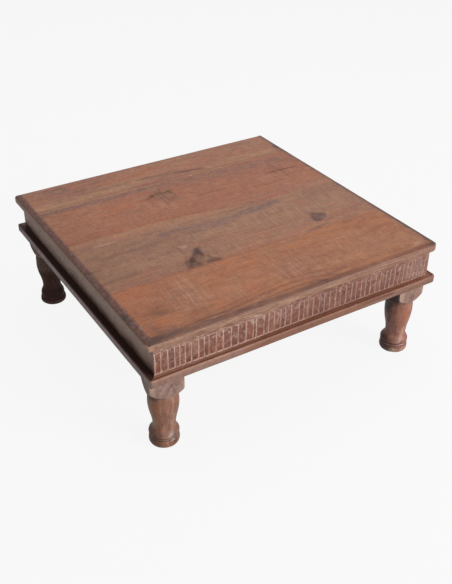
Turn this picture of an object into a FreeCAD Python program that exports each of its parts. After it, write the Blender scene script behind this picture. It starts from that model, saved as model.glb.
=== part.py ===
import FreeCAD, Part
import math
import os

# Low square table ("bajot"): a plank top on a shallow fluted frieze box, a nosed
# moulding under the box and four short turned legs.  All sizes are millimetres.
# Frame: origin on the floor under the middle of the table, +X to the right along
# the carved front, +Y to the back, +Z up.

V = FreeCAD.Vector

# ---------------------------------------------------------------- driving sizes
HEIGHT = 245.3          # floor to the top surface

# plank top
TOP_X = 302.0           # half length of the top, left and right edge
TOP_FRONT = -295.5      # front edge of the top
TOP_BACK = 301.8        # back edge; the top sits a few millimetres back on its box
TOP_T = 17.8            # thickness of the planks
TOP_CORNER_R = {(-1, -1): 4.0, (1, -1): 9.0, (1, 1): 6.0, (-1, 1): 6.0}   # worn plan radius of each corner
BEVEL_IN = 10.0         # worn bevel round the rim: how far in it starts
BEVEL_DOWN = 5.2        # and how far down it comes
NOSE_R = 3.0            # rounded lower arris of the planks
SEAMS = (190.8, 14.0, -138.8)   # the three glued joints, back to front

# frieze box under the top
BOX_X = 290.0           # half width over the frieze boards
BOX_Y = 289.5           # half depth over the frieze boards
FRIEZE_T = 14.0         # board thickness
FRIEZE_Z0 = 178.0       # foot of the frieze, on the moulding
FLUTE_TOP = 218.6       # the flutes stop here, under a plain fillet
FLUTE_DEPTH = 1.5
FLUTE_HALF = 0.85       # half width of a cut groove at the surface
REED_CROWN = 0.35       # how far the reed's flanks fall from its crown

# nosed moulding under the frieze
BASE_X = 303.5
BASE_Y = 303.0
BASE_Z0 = 163.6
BASE_T = 14.4
BASE_W = 80.0           # width of the flat rail that carries the nose
BASE_NOSE_TOP = 3.2     # radius of the upper arris of the nose
BASE_NOSE_LOW = 4.2     # radius of the lower arris
BASE_CORNER_R = {(-1, -1): 3.0, (1, -1): 10.0, (1, 1): 6.0, (-1, 1): 6.0}

# legs
LEG_X = 261.0
LEG_Y = 258.0
BLOCK = 28.0            # half side of the square block

# underside timber
CLEAT = 18.0            # square section of the cleats
BATTEN_W = 45.0
BATTEN_X = 120.0

# fastenings
SCREW_L = 28.0
SCREW_R = 1.75
SCREW_HEAD_R = 3.5
SCREW_HEAD_H = 2.3
NAIL_L = 40.0
NAIL_R = 1.2
NAIL_HEAD_R = 2.6
NAIL_HEAD_H = 1.1
DOWEL_R = 3.0
DOWEL_L = 36.0

FRIEZE_Z1 = HEIGHT - TOP_T          # head of the frieze, underside of the planks
BASE_Z1 = BASE_Z0 + BASE_T
IN_X = BOX_X - FRIEZE_T             # inner faces of the frieze boards
IN_Y = BOX_Y - FRIEZE_T
POST_X = LEG_X - BLOCK              # inner faces of the corner posts
POST_Y = LEG_Y - BLOCK

# Cut grooves of the hand-carved front, from the left end to the right.  The
# spacing is uneven, as a chisel worked by eye leaves it.
GROOVES = (-287.3, -276.3, -263.6, -251.1, -241.8, -232.0, -220.4, -207.0, -196.6,
           -187.4, -173.8, -160.4, -145.0, -130.9, -115.8, -101.2, -95.2, -79.4,
           -69.9, -58.8, -45.6, -35.4, -23.3, -6.4, 3.4, 12.1, 23.6, 37.0, 48.0,
           59.9, 72.7, 83.7, 95.6, 108.7, 119.0, 130.2, 140.6, 152.0, 164.4, 175.0,
           188.4, 197.9, 209.1, 220.0, 230.7, 240.4, 249.3, 258.2, 265.9, 273.4,
           282.6)

# Turned profiles as (height, radius), foot to neck.  The legs are hand turned and
# differ by a millimetre or two.
TURN_NOMINAL = ((0, 22.4), (1.3, 24.4), (3.2, 26), (6, 27), (9, 27.2), (12, 26.9), (14.6, 26.2), (16.4, 24.8),
                (17.6, 25.9), (19.2, 26.4), (20.8, 26.1), (22, 24.7), (23, 26.2), (24.6, 26.9), (26.6, 26.3),
                (28.8, 24.9), (31.2, 23.1), (33.6, 21.5), (36, 20.4), (38.6, 19.9), (42, 20), (46, 20.3),
                (50, 20.8), (56, 21.8), (61, 22.8), (67, 24.2), (73, 25.4), (79, 26.4), (85, 27.1), (91, 27.4),
                (97, 27.2), (102, 26.9), (107, 26.3), (111, 25.6), (113.2, 25.1))
TURN_FRONT_RIGHT = ((0, 25), (1.1, 26), (3, 26.9), (6, 27.2), (9, 27), (11.6, 26.6), (13.4, 26.1),
                    (14.2, 25.7), (15.2, 26.3), (16.8, 26.4), (18, 25.7), (19, 24.3), (20, 25.6), (21.4, 26.5),
                    (23.4, 26.8), (25.6, 26.3), (28.2, 24.9), (31.2, 23), (34.5, 21.2), (37, 20.2), (40, 19.8),
                    (44, 19.9), (49, 20.3), (55, 21), (61, 22.1), (67, 23.4), (73, 24.5), (79, 25.4),
                    (85, 26.1), (91, 26.5), (97, 26.7), (103, 26.6), (109, 26.2), (113.5, 25.7), (116.2, 25.1))
TURN_BACK_LEFT = ((0.0, 23.9), (1.2, 25.5), (3.2, 26.6), (6.0, 26.9), (9.0, 26.5),
                  (11.6, 25.7), (13.4, 24.8), (14.4, 24.2), (15.4, 24.5), (18.0, 24.6),
                  (21.0, 24.5), (24.0, 24.0), (27.0, 23.1), (30.0, 21.7), (33.0, 20.3),
                  (36.0, 19.4), (39.5, 19.1), (44.0, 19.1), (49.0, 19.5), (54.0, 20.2),
                  (60.0, 21.4), (66.0, 23.0), (72.0, 24.6), (78.0, 25.7), (84.0, 26.5),
                  (90.0, 26.8), (96.0, 26.7), (102.0, 26.5), (108.0, 26.1), (113.0, 25.5),
                  (116.2, 25.1))
TURN_BACK_RIGHT = tuple((z, round(r * 0.992, 2)) for z, r in TURN_NOMINAL)
# heights of the cut rings near the foot, where the curve breaks
CUTS = {"leg_front_left": (16.4, 22.0), "leg_front_right": (14.2, 19.0),
        "leg_back_left": (14.4,), "leg_back_right": (16.4, 22.0)}
# height at which the turning meets the block, and half the side of the block
STEPS = {"leg_front_left": (114.0, 30.0), "leg_front_right": (117.0, 29.3),
         "leg_back_left": (117.0, 28.0), "leg_back_right": (114.0, 28.0)}
# degrees the hand-cut block of a leg stands out of square with the frieze
SKEW = {"leg_front_left": -11.0}

# Rounded shoulder between the round neck and the square block: height above the
# step, and radius as a share of half the block's side.
SHOULDER = ((0.0, 0.945), (2.0, 0.985), (4.5, 1.055), (7.5, 1.155), (10.5, 1.25),
            (14.0, 1.34), (17.5, 1.395), (22.5, 1.432))

os.makedirs("parts", exist_ok=True)


# ---------------------------------------------------------------- helpers
def box(x0, x1, y0, y1, z0, z1):
    return Part.makeBox(x1 - x0, y1 - y0, z1 - z0, V(x0, y0, z0))


def prism(points, direction):
    """Extrude a closed outline of points along a direction."""
    wire = Part.makePolygon(list(points) + [points[0]])
    return Part.Face(wire).extrude(direction)


def rounded_prism(x0, x1, y0, y1, radii, z0, z1):
    """Upright block with its own plan radius at each corner."""
    body = box(x0, x1, y0, y1, z0, z1)
    for (sx, sy), r in radii.items():
        x, y = (x1 if sx > 0 else x0), (y1 if sy > 0 else y0)
        upright = [e for e in body.Edges if len(e.Vertexes) == 2
                   and all(abs(v.X - x) < 1e-6 and abs(v.Y - y) < 1e-6 for v in e.Vertexes)]
        body = body.makeFillet(r, upright)
    return body


def edge_wire(points, arcs, y=None, x=None):
    """Closed outline in the XZ plane (y given) or the YZ plane (x given).
    arcs maps the index of a start point to the middle point of an arc that ends
    at the next point; every other pair is joined by a straight edge."""
    def vec(p):
        return V(p[0], y, p[1]) if y is not None else V(x, p[0], p[1])
    edges = []
    for i, p in enumerate(points):
        q = points[(i + 1) % len(points)]
        if i in arcs:
            edges.append(Part.Arc(vec(p), vec(arcs[i]), vec(q)).toShape())
        else:
            edges.append(Part.LineSegment(vec(p), vec(q)).toShape())
    return Part.Wire(edges)


def plank_outline(lo, hi):
    """Section across the top from one edge to the other: flat underside, rounded
    lower arris, upright nose, softened upper arris, bevel, flat top."""
    zb, zt = HEIGHT - TOP_T, HEIGHT
    za = zt - BEVEL_DOWN
    k = math.sqrt(0.5)
    pts, arcs = [], {}

    def side(edge, s):
        # points from the underside up to the flat top, s points inwards
        r = NOSE_R
        low = [(edge + s * r, zb), (edge, zb + r)]
        low_mid = (edge + s * r * (1 - k), zb + r * (1 - k))
        up = [(edge, za - 1.2), (edge + s * 1.6, za + 0.83)]
        up_mid = (edge + s * 0.42, za + 0.1)
        top = (edge + s * BEVEL_IN, zt)
        return low, low_mid, up, up_mid, top

    l_low, l_lm, l_up, l_um, l_top = side(lo, 1)
    r_low, r_lm, r_up, r_um, r_top = side(hi, -1)
    pts = [r_low[0], r_low[1], r_up[0], r_up[1], r_top,
           l_top, l_up[1], l_up[0], l_low[1], l_low[0]]
    arcs = {0: r_lm, 2: r_um, 6: l_um, 8: l_lm}
    return pts, arcs


def base_outline(lo, hi):
    """Section across the nosed moulding frame, edge to edge."""
    z0, z1 = BASE_Z0, BASE_Z1
    a, b = BASE_NOSE_TOP, BASE_NOSE_LOW
    k = math.sqrt(0.5)
    pts = [(hi - b, z0), (hi, z0 + b), (hi, z1 - a), (hi - a, z1),
           (lo + a, z1), (lo, z1 - a), (lo, z0 + b), (lo + b, z0)]
    arcs = {0: (hi - b * (1 - k), z0 + b * (1 - k)),
            2: (hi - a * (1 - k), z1 - a * (1 - k)),
            4: (lo + a * (1 - k), z1 - a * (1 - k)),
            6: (lo + b * (1 - k), z0 + b * (1 - k))}
    return pts, arcs


def crossed(outline, x0, x1, y0, y1):
    """Solid whose four edges all carry one section, mitred at the corners."""
    px, ax = outline(x0, x1)
    py, ay = outline(y0, y1)
    along_y = Part.Face(edge_wire(px, ax, y=y0 - 5)).extrude(V(0, y1 - y0 + 10, 0))
    along_x = Part.Face(edge_wire(py, ay, x=x0 - 5)).extrude(V(x1 - x0 + 10, 0, 0))
    return along_y.common(along_x)


def single(shape):
    """The one solid of a boolean result."""
    solids = shape.Solids
    assert len(solids) == 1, len(solids)
    return solids[0]


def cut_all(shape, tools):
    return shape.cut(Part.makeCompound(tools)) if tools else shape


def save(name, shape, count=1):
    assert shape.isValid(), name
    assert len(shape.Solids) == count, (name, len(shape.Solids))
    assert all(s.Volume > 0 for s in shape.Solids), name
    if count == 1:
        shape = shape.Solids[0]
    shape.exportStep("parts/" + name + ".step")
    bb = shape.optimalBoundingBox(False)
    print("%-20s %3d solid(s)  %8.1f cm3  x %.1f..%.1f  y %.1f..%.1f  z %.1f..%.1f" % (
        name, count, shape.Volume / 1000, bb.XMin, bb.XMax, bb.YMin, bb.YMax,
        bb.ZMin, bb.ZMax))


# ---------------------------------------------------------------- fastenings
def turned(points, base, direction):
    """Solid of revolution: points are (along, radius), from the axis to the axis."""
    wire = Part.makePolygon([V(r, 0, a) for a, r in points] + [V(points[0][1], 0, points[0][0])])
    body = Part.Face(wire).revolve(V(0, 0, 0), V(0, 0, 1), 360)
    solid = body if isinstance(body, Part.Solid) else Part.Solid(body.Shells[0])
    if solid.Volume < 0:
        solid.reverse()
    turn = FreeCAD.Rotation(V(0, 0, 1), direction)
    solid.Placement = FreeCAD.Placement(base, turn)
    return solid


def screw(base, direction, slot_angle):
    """Countersunk slotted wood screw, head flush with the surface it enters."""
    pts = [(0, 0), (0, SCREW_HEAD_R), (SCREW_HEAD_H, SCREW_R), (SCREW_L - 5, SCREW_R),
           (SCREW_L, 0.25), (SCREW_L, 0)]
    body = turned(pts, V(0, 0, 0), V(0, 0, 1))
    slot = box(-4, 4, -0.45, 0.45, -1, 0.9)
    slot.rotate(V(0, 0, 0), V(0, 0, 1), slot_angle)
    cut = single(body.cut(slot))
    envelope = body
    turn = FreeCAD.Rotation(V(0, 0, 1), direction)
    place = FreeCAD.Placement(base, turn)
    cut.Placement = place
    envelope.Placement = place
    return cut, envelope


def nail(base, direction):
    pts = [(0, 0), (0, NAIL_HEAD_R), (NAIL_HEAD_H, NAIL_HEAD_R), (NAIL_HEAD_H, NAIL_R),
           (NAIL_L - 4, NAIL_R), (NAIL_L, 0.2), (NAIL_L, 0)]
    return turned(pts, base, direction)


# battens and cleats take screws up into the planks, cleats also into the frieze
UP = V(0, 0, 1)
plank_edges = (TOP_BACK,) + SEAMS + (TOP_FRONT,)
batten_z = FRIEZE_Z1 - CLEAT
batten_screws, batten_holes = [], []
for side, bx in (("left", -BATTEN_X), ("right", BATTEN_X)):
    for i in range(4):
        hi, lo = plank_edges[i], plank_edges[i + 1]
        hi = min(hi, IN_Y - CLEAT)
        lo = max(lo, -(IN_Y - CLEAT))
        for k, share in enumerate((0.27, 0.73)):
            at = V(bx + (9 if (k + i) % 2 else -9), lo + (hi - lo) * share, batten_z)
            s, e = screw(at, UP, 20 + 47 * (i + 2 * k) + (15 if side == "left" else 0))
            batten_screws.append(s)
            batten_holes.append(e)

cleat_screws, cleat_holes = [], []
CLEAT_MID_X = IN_X - CLEAT / 2
CLEAT_MID_Y = IN_Y - CLEAT / 2
n = 0
for sign in (-1, 1):
    for x in (-195, -65, 65, 195):
        s, e = screw(V(x, sign * CLEAT_MID_Y, batten_z), UP, 31 * n)
        cleat_screws.append(s)
        cleat_holes.append(e)
        n += 1
    for x in (-160, 0, 160):
        s, e = screw(V(x, sign * (IN_Y - CLEAT), batten_z + 10), V(0, sign, 0), 31 * n)
        cleat_screws.append(s)
        cleat_holes.append(e)
        n += 1
    for y in (-190, -64, 62, 196):
        s, e = screw(V(sign * CLEAT_MID_X, y, batten_z), UP, 31 * n)
        cleat_screws.append(s)
        cleat_holes.append(e)
        n += 1
    for y in (-150, 0, 150):
        s, e = screw(V(sign * (IN_X - CLEAT), y, batten_z + 10), V(sign, 0, 0), 31 * n)
        cleat_screws.append(s)
        cleat_holes.append(e)
        n += 1

base_nails = []
for sign in (-1, 1):
    for x in (-205, -70, 68, 207):
        base_nails.append(nail(V(x, sign * (BOX_Y - FRIEZE_T / 2), BASE_Z0), UP))
    for y in (-204, -66, 70, 202):
        base_nails.append(nail(V(sign * (BOX_X - FRIEZE_T / 2), y, BASE_Z0), UP))

# dowels across the three glued joints of the top
dowels = []
dowel_z = HEIGHT - TOP_T / 2
for seam in SEAMS:
    for x in (-225, -75, 75, 225):
        pin = Part.makeCylinder(DOWEL_R, DOWEL_L, V(x, seam - DOWEL_L / 2, dowel_z), V(0, 1, 0))
        dowels.append(pin)

# ---------------------------------------------------------------- plank top
slab = crossed(plank_outline, -TOP_X, TOP_X, TOP_FRONT, TOP_BACK)
slab = slab.common(rounded_prism(-TOP_X, TOP_X, TOP_FRONT, TOP_BACK, TOP_CORNER_R,
                                 HEIGHT - TOP_T - 1, HEIGHT + 1))
top_tools = dowels + batten_holes + cleat_holes
for i, name in enumerate(("top_board_back", "top_board_mid_back",
                          "top_board_mid_front", "top_board_front")):
    hi, lo = plank_edges[i], plank_edges[i + 1]
    hi = hi + 10 if i == 0 else hi
    lo = lo - 10 if i == 3 else lo
    board = slab.common(box(-TOP_X - 10, TOP_X + 10, lo, hi, HEIGHT - TOP_T - 5, HEIGHT + 5))
    save(name, single(cut_all(board, top_tools)))

# ---------------------------------------------------------------- frieze box
def frieze_board(side):
    """Mitred board on one side of the box: 0 front, 1 right, 2 back, 3 left."""
    z0, z1 = FRIEZE_Z0, FRIEZE_Z1
    if side == 0:
        pts = [V(-BOX_X, -BOX_Y, z0), V(BOX_X, -BOX_Y, z0), V(IN_X, -IN_Y, z0), V(-IN_X, -IN_Y, z0)]
    elif side == 1:
        pts = [V(BOX_X, -BOX_Y, z0), V(BOX_X, BOX_Y, z0), V(IN_X, IN_Y, z0), V(IN_X, -IN_Y, z0)]
    elif side == 2:
        pts = [V(BOX_X, BOX_Y, z0), V(-BOX_X, BOX_Y, z0), V(-IN_X, IN_Y, z0), V(IN_X, IN_Y, z0)]
    else:
        pts = [V(-BOX_X, BOX_Y, z0), V(-BOX_X, -BOX_Y, z0), V(-IN_X, -IN_Y, z0), V(-IN_X, IN_Y, z0)]
    return prism(pts, V(0, 0, z1 - z0))


frieze_tools = cleat_holes + base_nails

# the carved front: full outline above, grooved outline below the fillet
outline = [V(-BOX_X, -BOX_Y, FRIEZE_Z0)]
for i, g in enumerate(GROOVES):
    outline.append(V(g - FLUTE_HALF, -BOX_Y + REED_CROWN, FRIEZE_Z0))
    outline.append(V(g, -BOX_Y + FLUTE_DEPTH, FRIEZE_Z0))
    outline.append(V(g + FLUTE_HALF, -BOX_Y + REED_CROWN, FRIEZE_Z0))
    nxt = GROOVES[i + 1] if i + 1 < len(GROOVES) else BOX_X
    wide = nxt - g
    if wide > 3.5:
        outline.append(V(g + 0.33 * wide, -BOX_Y, FRIEZE_Z0))
        if i + 1 < len(GROOVES):
            outline.append(V(g + 0.67 * wide, -BOX_Y, FRIEZE_Z0))
outline += [V(BOX_X, -BOX_Y, FRIEZE_Z0), V(IN_X, -IN_Y, FRIEZE_Z0), V(-IN_X, -IN_Y, FRIEZE_Z0)]
carved = prism(outline, V(0, 0, FLUTE_TOP - FRIEZE_Z0))
plain = frieze_board(0).common(box(-BOX_X - 5, BOX_X + 5, -BOX_Y - 5, 0, FLUTE_TOP, HEIGHT))
front = carved.fuse(plain).removeSplitter()
save("frieze_front", single(cut_all(front, frieze_tools)))
save("frieze_right", single(cut_all(frieze_board(1), frieze_tools)))
save("frieze_back", single(cut_all(frieze_board(2), frieze_tools)))
save("frieze_left", single(cut_all(frieze_board(3), frieze_tools)))

# ---------------------------------------------------------------- base moulding
frame = crossed(base_outline, -BASE_X, BASE_X, -BASE_Y, BASE_Y)
frame = frame.common(rounded_prism(-BASE_X, BASE_X, -BASE_Y, BASE_Y, BASE_CORNER_R,
                                   BASE_Z0 - 1, BASE_Z1 + 1))
frame = frame.cut(box(-(BASE_X - BASE_W), BASE_X - BASE_W, -(BASE_Y - BASE_W), BASE_Y - BASE_W,
                      BASE_Z0 - 1, BASE_Z1 + 1))
for sx in (-1, 1):
    for sy in (-1, 1):
        x0, x1 = sorted((sx * POST_X, sx * IN_X))
        y0, y1 = sorted((sy * POST_Y, sy * IN_Y))
        frame = frame.cut(box(x0, x1, y0, y1, BASE_Z0 - 1, BASE_Z1 + 1))
IX, IY = BASE_X - BASE_W, BASE_Y - BASE_W   # inner edges, so the mitres run at 45 degrees
reach = 40.0
corner = {(sx, sy): (V(sx * (BASE_X + reach), sy * (BASE_Y + reach), BASE_Z0 - 1),
                     V(sx * (IX - 5), sy * (IY - 5), BASE_Z0 - 1))
          for sx in (-1, 1) for sy in (-1, 1)}
mitres = {
    "base_moulding_front": [corner[-1, -1][0], corner[1, -1][0], corner[1, -1][1], corner[-1, -1][1]],
    "base_moulding_right": [corner[1, -1][0], corner[1, 1][0], corner[1, 1][1], corner[1, -1][1]],
    "base_moulding_back": [corner[1, 1][0], corner[-1, 1][0], corner[-1, 1][1], corner[1, 1][1]],
    "base_moulding_left": [corner[-1, 1][0], corner[-1, -1][0], corner[-1, -1][1], corner[-1, 1][1]],
}
for name, pts in mitres.items():
    piece = frame.common(prism(pts, V(0, 0, BASE_T + 2)))
    save(name, single(cut_all(piece, base_nails)))


# ---------------------------------------------------------------- legs
def revolve_profile(turn, cuts, extra_top):
    """Turned body from (height, radius) points, capped flat at both ends."""
    foot = [V(0, 0, 0), V(turn[0][1], 0, 0)]
    edges = [Part.LineSegment(foot[0], foot[1]).toShape()]
    marks = [0] + [i for i, p in enumerate(turn) if p[0] in cuts] + [len(turn) - 1]
    for i, k in zip(marks, marks[1:]):
        curve = Part.BSplineCurve()
        curve.interpolate([V(r, 0, z) for z, r in turn[i:k + 1]])
        edges.append(curve.toShape())
    last = V(turn[-1][1], 0, turn[-1][0])
    top = V(last.x, 0, extra_top)
    edges.append(Part.LineSegment(last, top).toShape())
    edges.append(Part.LineSegment(top, V(0, 0, extra_top)).toShape())
    edges.append(Part.LineSegment(V(0, 0, extra_top), V(0, 0, 0)).toShape())
    body = Part.Face(Part.Wire(edges)).revolve(V(0, 0, 0), V(0, 0, 1), 360)
    solid = body if isinstance(body, Part.Solid) else Part.Solid(body.Shells[0])
    if solid.Volume < 0:
        solid.reverse()
    return solid


def shouldered_block(step, half):
    """Square block whose lower corners are turned away into a round shoulder."""
    pts = [V(half * share, 0, step + up) for up, share in SHOULDER]
    curve = Part.BSplineCurve()
    curve.interpolate(pts)
    edges = [Part.LineSegment(V(0, 0, step), pts[0]).toShape(), curve.toShape(),
             Part.LineSegment(pts[-1], V(pts[-1].x, 0, BASE_Z0)).toShape(),
             Part.LineSegment(V(pts[-1].x, 0, BASE_Z0), V(0, 0, BASE_Z0)).toShape(),
             Part.LineSegment(V(0, 0, BASE_Z0), V(0, 0, step)).toShape()]
    body = Part.Face(Part.Wire(edges)).revolve(V(0, 0, 0), V(0, 0, 1), 360)
    solid = body if isinstance(body, Part.Solid) else Part.Solid(body.Shells[0])
    if solid.Volume < 0:
        solid.reverse()
    return solid.common(box(-half, half, -half, half, step - 5, BASE_Z0))


def leg(name, sx, sy, turn):
    step, half = STEPS[name]
    body = revolve_profile(turn, CUTS[name], step + 6).fuse(shouldered_block(step, half))
    body.rotate(V(0, 0, 0), V(0, 0, 1), SKEW.get(name, 0.0))
    body.translate(V(sx * LEG_X, sy * LEG_Y, 0))
    x0, x1 = sorted((sx * POST_X, sx * IN_X))
    y0, y1 = sorted((sy * POST_Y, sy * IN_Y))
    post = box(x0, x1, y0, y1, BASE_Z0 - 8, FRIEZE_Z1)
    return body.fuse(post).removeSplitter()


LEGS = {"leg_front_left": (-1, -1, TURN_NOMINAL),
        "leg_front_right": (1, -1, TURN_FRONT_RIGHT),
        "leg_back_left": (-1, 1, TURN_BACK_LEFT),
        "leg_back_right": (1, 1, TURN_BACK_RIGHT)}
for name, (sx, sy, turn) in LEGS.items():
    save(name, single(leg(name, sx, sy, turn)))

# ---------------------------------------------------------------- underside timber
cz0, cz1 = batten_z, FRIEZE_Z1
save("cleat_front", single(cut_all(box(-POST_X, POST_X, -IN_Y, -IN_Y + CLEAT, cz0, cz1), cleat_holes)))
save("cleat_back", single(cut_all(box(-POST_X, POST_X, IN_Y - CLEAT, IN_Y, cz0, cz1), cleat_holes)))
save("cleat_left", single(cut_all(box(-IN_X, -IN_X + CLEAT, -POST_Y, POST_Y, cz0, cz1), cleat_holes)))
save("cleat_right", single(cut_all(box(IN_X - CLEAT, IN_X, -POST_Y, POST_Y, cz0, cz1), cleat_holes)))
for name, bx in (("batten_left", -BATTEN_X), ("batten_right", BATTEN_X)):
    bar = box(bx - BATTEN_W / 2, bx + BATTEN_W / 2, -(IN_Y - CLEAT), IN_Y - CLEAT, cz0, cz1)
    save(name, single(cut_all(bar, batten_holes)))

# ---------------------------------------------------------------- fastening groups
save("top_dowels", Part.makeCompound(dowels), len(dowels))
save("batten_screws", Part.makeCompound(batten_screws), len(batten_screws))
save("cleat_screws", Part.makeCompound(cleat_screws), len(cleat_screws))
save("base_nails", Part.makeCompound(base_nails), len(base_nails))
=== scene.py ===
import math

import bpy
import numpy as np
from mathutils import Matrix, Vector


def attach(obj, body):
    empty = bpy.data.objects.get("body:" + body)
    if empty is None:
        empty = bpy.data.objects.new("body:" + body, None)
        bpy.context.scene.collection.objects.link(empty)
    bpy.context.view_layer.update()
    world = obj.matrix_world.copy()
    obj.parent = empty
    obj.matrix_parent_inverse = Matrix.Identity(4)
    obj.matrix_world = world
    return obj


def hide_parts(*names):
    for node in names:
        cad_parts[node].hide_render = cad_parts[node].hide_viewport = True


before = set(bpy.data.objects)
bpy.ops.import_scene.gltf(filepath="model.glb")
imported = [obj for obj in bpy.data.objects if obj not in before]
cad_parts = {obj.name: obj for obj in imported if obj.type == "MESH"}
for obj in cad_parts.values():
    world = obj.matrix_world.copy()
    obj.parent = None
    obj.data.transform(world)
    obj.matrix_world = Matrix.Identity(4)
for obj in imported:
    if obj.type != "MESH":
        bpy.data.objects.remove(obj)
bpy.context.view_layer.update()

# ------------------------------------------------------------------ sizes, mm
TOPZ, TOPB = 245.3, 227.5
TX, TYF, TYB = 302.0, -295.5, 301.8
SEAMS = (190.8, 14.0, -138.8)
BX, BY = 290.0, 289.5
FZ0, FZ1, FT = 178.0, 227.5, 14.0
MX, MY, MZ0, MZ1, MW = 303.5, 303.0, 163.6, 178.0, 80.0
LX, LY, BLOCK = 261.0, 258.0, 28.0
POSTX, POSTY = 233.0, 230.0
INX, INY = 276.0, 275.5
GROOVES = (-287.3, -276.3, -263.6, -251.1, -241.8, -232.0, -220.4, -207.0, -196.6,
           -187.4, -173.8, -160.4, -145.0, -130.9, -115.8, -101.2, -95.2, -79.4,
           -69.9, -58.8, -45.6, -35.4, -23.3, -6.4, 3.4, 12.1, 23.6, 37.0, 48.0,
           59.9, 72.7, 83.7, 95.6, 108.7, 119.0, 130.2, 140.6, 152.0, 164.4, 175.0,
           188.4, 197.9, 209.1, 220.0, 230.7, 240.4, 249.3, 258.2, 265.9, 273.4,
           282.6)


# ------------------------------------------------------------------ repeatable noise
def _hash(ix, iy, seed):
    h = (ix.astype(np.int64) * 374761393 + iy.astype(np.int64) * 668265263
         + (seed * 974711 + 12345)) & 0xFFFFFFFF
    h = ((h ^ (h >> 13)) * 1274126177) & 0xFFFFFFFF
    h = ((h ^ (h >> 16)) * 2246822519) & 0xFFFFFFFF
    h = h ^ (h >> 15)
    return (h & 0xFFFFFF) / float(0xFFFFFF)


def vnoise(x, y, seed=0):
    """Smooth value noise, -1 to 1."""
    x, y = np.broadcast_arrays(np.asarray(x, float), np.asarray(y, float))
    ix, iy = np.floor(x), np.floor(y)
    fx, fy = x - ix, y - iy
    fx = fx * fx * fx * (fx * (fx * 6 - 15) + 10)
    fy = fy * fy * fy * (fy * (fy * 6 - 15) + 10)
    a, b = _hash(ix, iy, seed), _hash(ix + 1, iy, seed)
    c, d = _hash(ix, iy + 1, seed), _hash(ix + 1, iy + 1, seed)
    return ((a + (b - a) * fx) * (1 - fy) + (c + (d - c) * fx) * fy) * 2 - 1


def fbm(x, y, seed=0, octaves=4, gain=0.5):
    total, amp, norm = 0.0, 1.0, 0.0
    x, y = np.asarray(x, float), np.asarray(y, float)
    for o in range(octaves):
        total = total + amp * vnoise(x * 2 ** o + 17.3 * o, y * 2 ** o - 9.1 * o, seed + 31 * o)
        norm += amp
        amp *= gain
    return total / norm


def smooth(a, b, x):
    t = np.clip((np.asarray(x, float) - a) / (b - a), 0, 1)
    return t * t * (3 - 2 * t)


# ------------------------------------------------------------------ marks laid on a surface
def line_distance(X, Y, pts):
    """Distance from each point to a polyline, and how far along it (0 to 1)."""
    best = np.full(X.shape, 1e9)
    along = np.zeros(X.shape)
    lengths = [math.dist(pts[i], pts[i + 1]) for i in range(len(pts) - 1)]
    total = max(sum(lengths), 1e-9)
    run = 0.0
    for (x0, y0), (x1, y1), ln in zip(pts, pts[1:], lengths):
        dx, dy = x1 - x0, y1 - y0
        t = np.clip(((X - x0) * dx + (Y - y0) * dy) / max(dx * dx + dy * dy, 1e-9), 0, 1)
        d = np.hypot(X - x0 - t * dx, Y - y0 - t * dy)
        near = d < best
        best = np.where(near, d, best)
        along = np.where(near, (run + t * ln) / total, along)
        run += ln
    return best, along


def mark(X, Y, pts, w, taper=0.0, power=2.0):
    d, t = line_distance(X, Y, pts)
    width = w * (1 - taper * np.abs(2 * t - 1) ** 2)
    return np.exp(-(d / np.maximum(width, 0.2)) ** power)


def spot(X, Y, cx, cy, rx, ry, angle=0.0, power=2.0):
    a = math.radians(angle)
    u = ((X - cx) * math.cos(a) + (Y - cy) * math.sin(a)) / rx
    v = (-(X - cx) * math.sin(a) + (Y - cy) * math.cos(a)) / ry
    return np.exp(-(u * u + v * v) ** (power / 2))


# ------------------------------------------------------------------ nodes
def wedge(X, Y, pts, soft):
    """1 inside a convex patch with corners pts, 0 outside, with a soft edge."""
    area = sum(a[0] * b[1] - b[0] * a[1] for a, b in zip(pts, pts[1:] + pts[:1]))
    way = 1.0 if area > 0 else -1.0
    d = np.full(X.shape, 1e9)
    for a, b in zip(pts, pts[1:] + pts[:1]):
        ex, ey = b[0] - a[0], b[1] - a[1]
        d = np.minimum(d, way * (ex * (Y - a[1]) - ey * (X - a[0])) / math.hypot(ex, ey))
    return smooth(-soft, soft, d)


def lin(r, g, b):
    def one(c):
        c /= 255.0
        return c / 12.92 if c <= 0.04045 else ((c + 0.055) / 1.055) ** 2.4
    return (one(r), one(g), one(b), 1.0)


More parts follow.
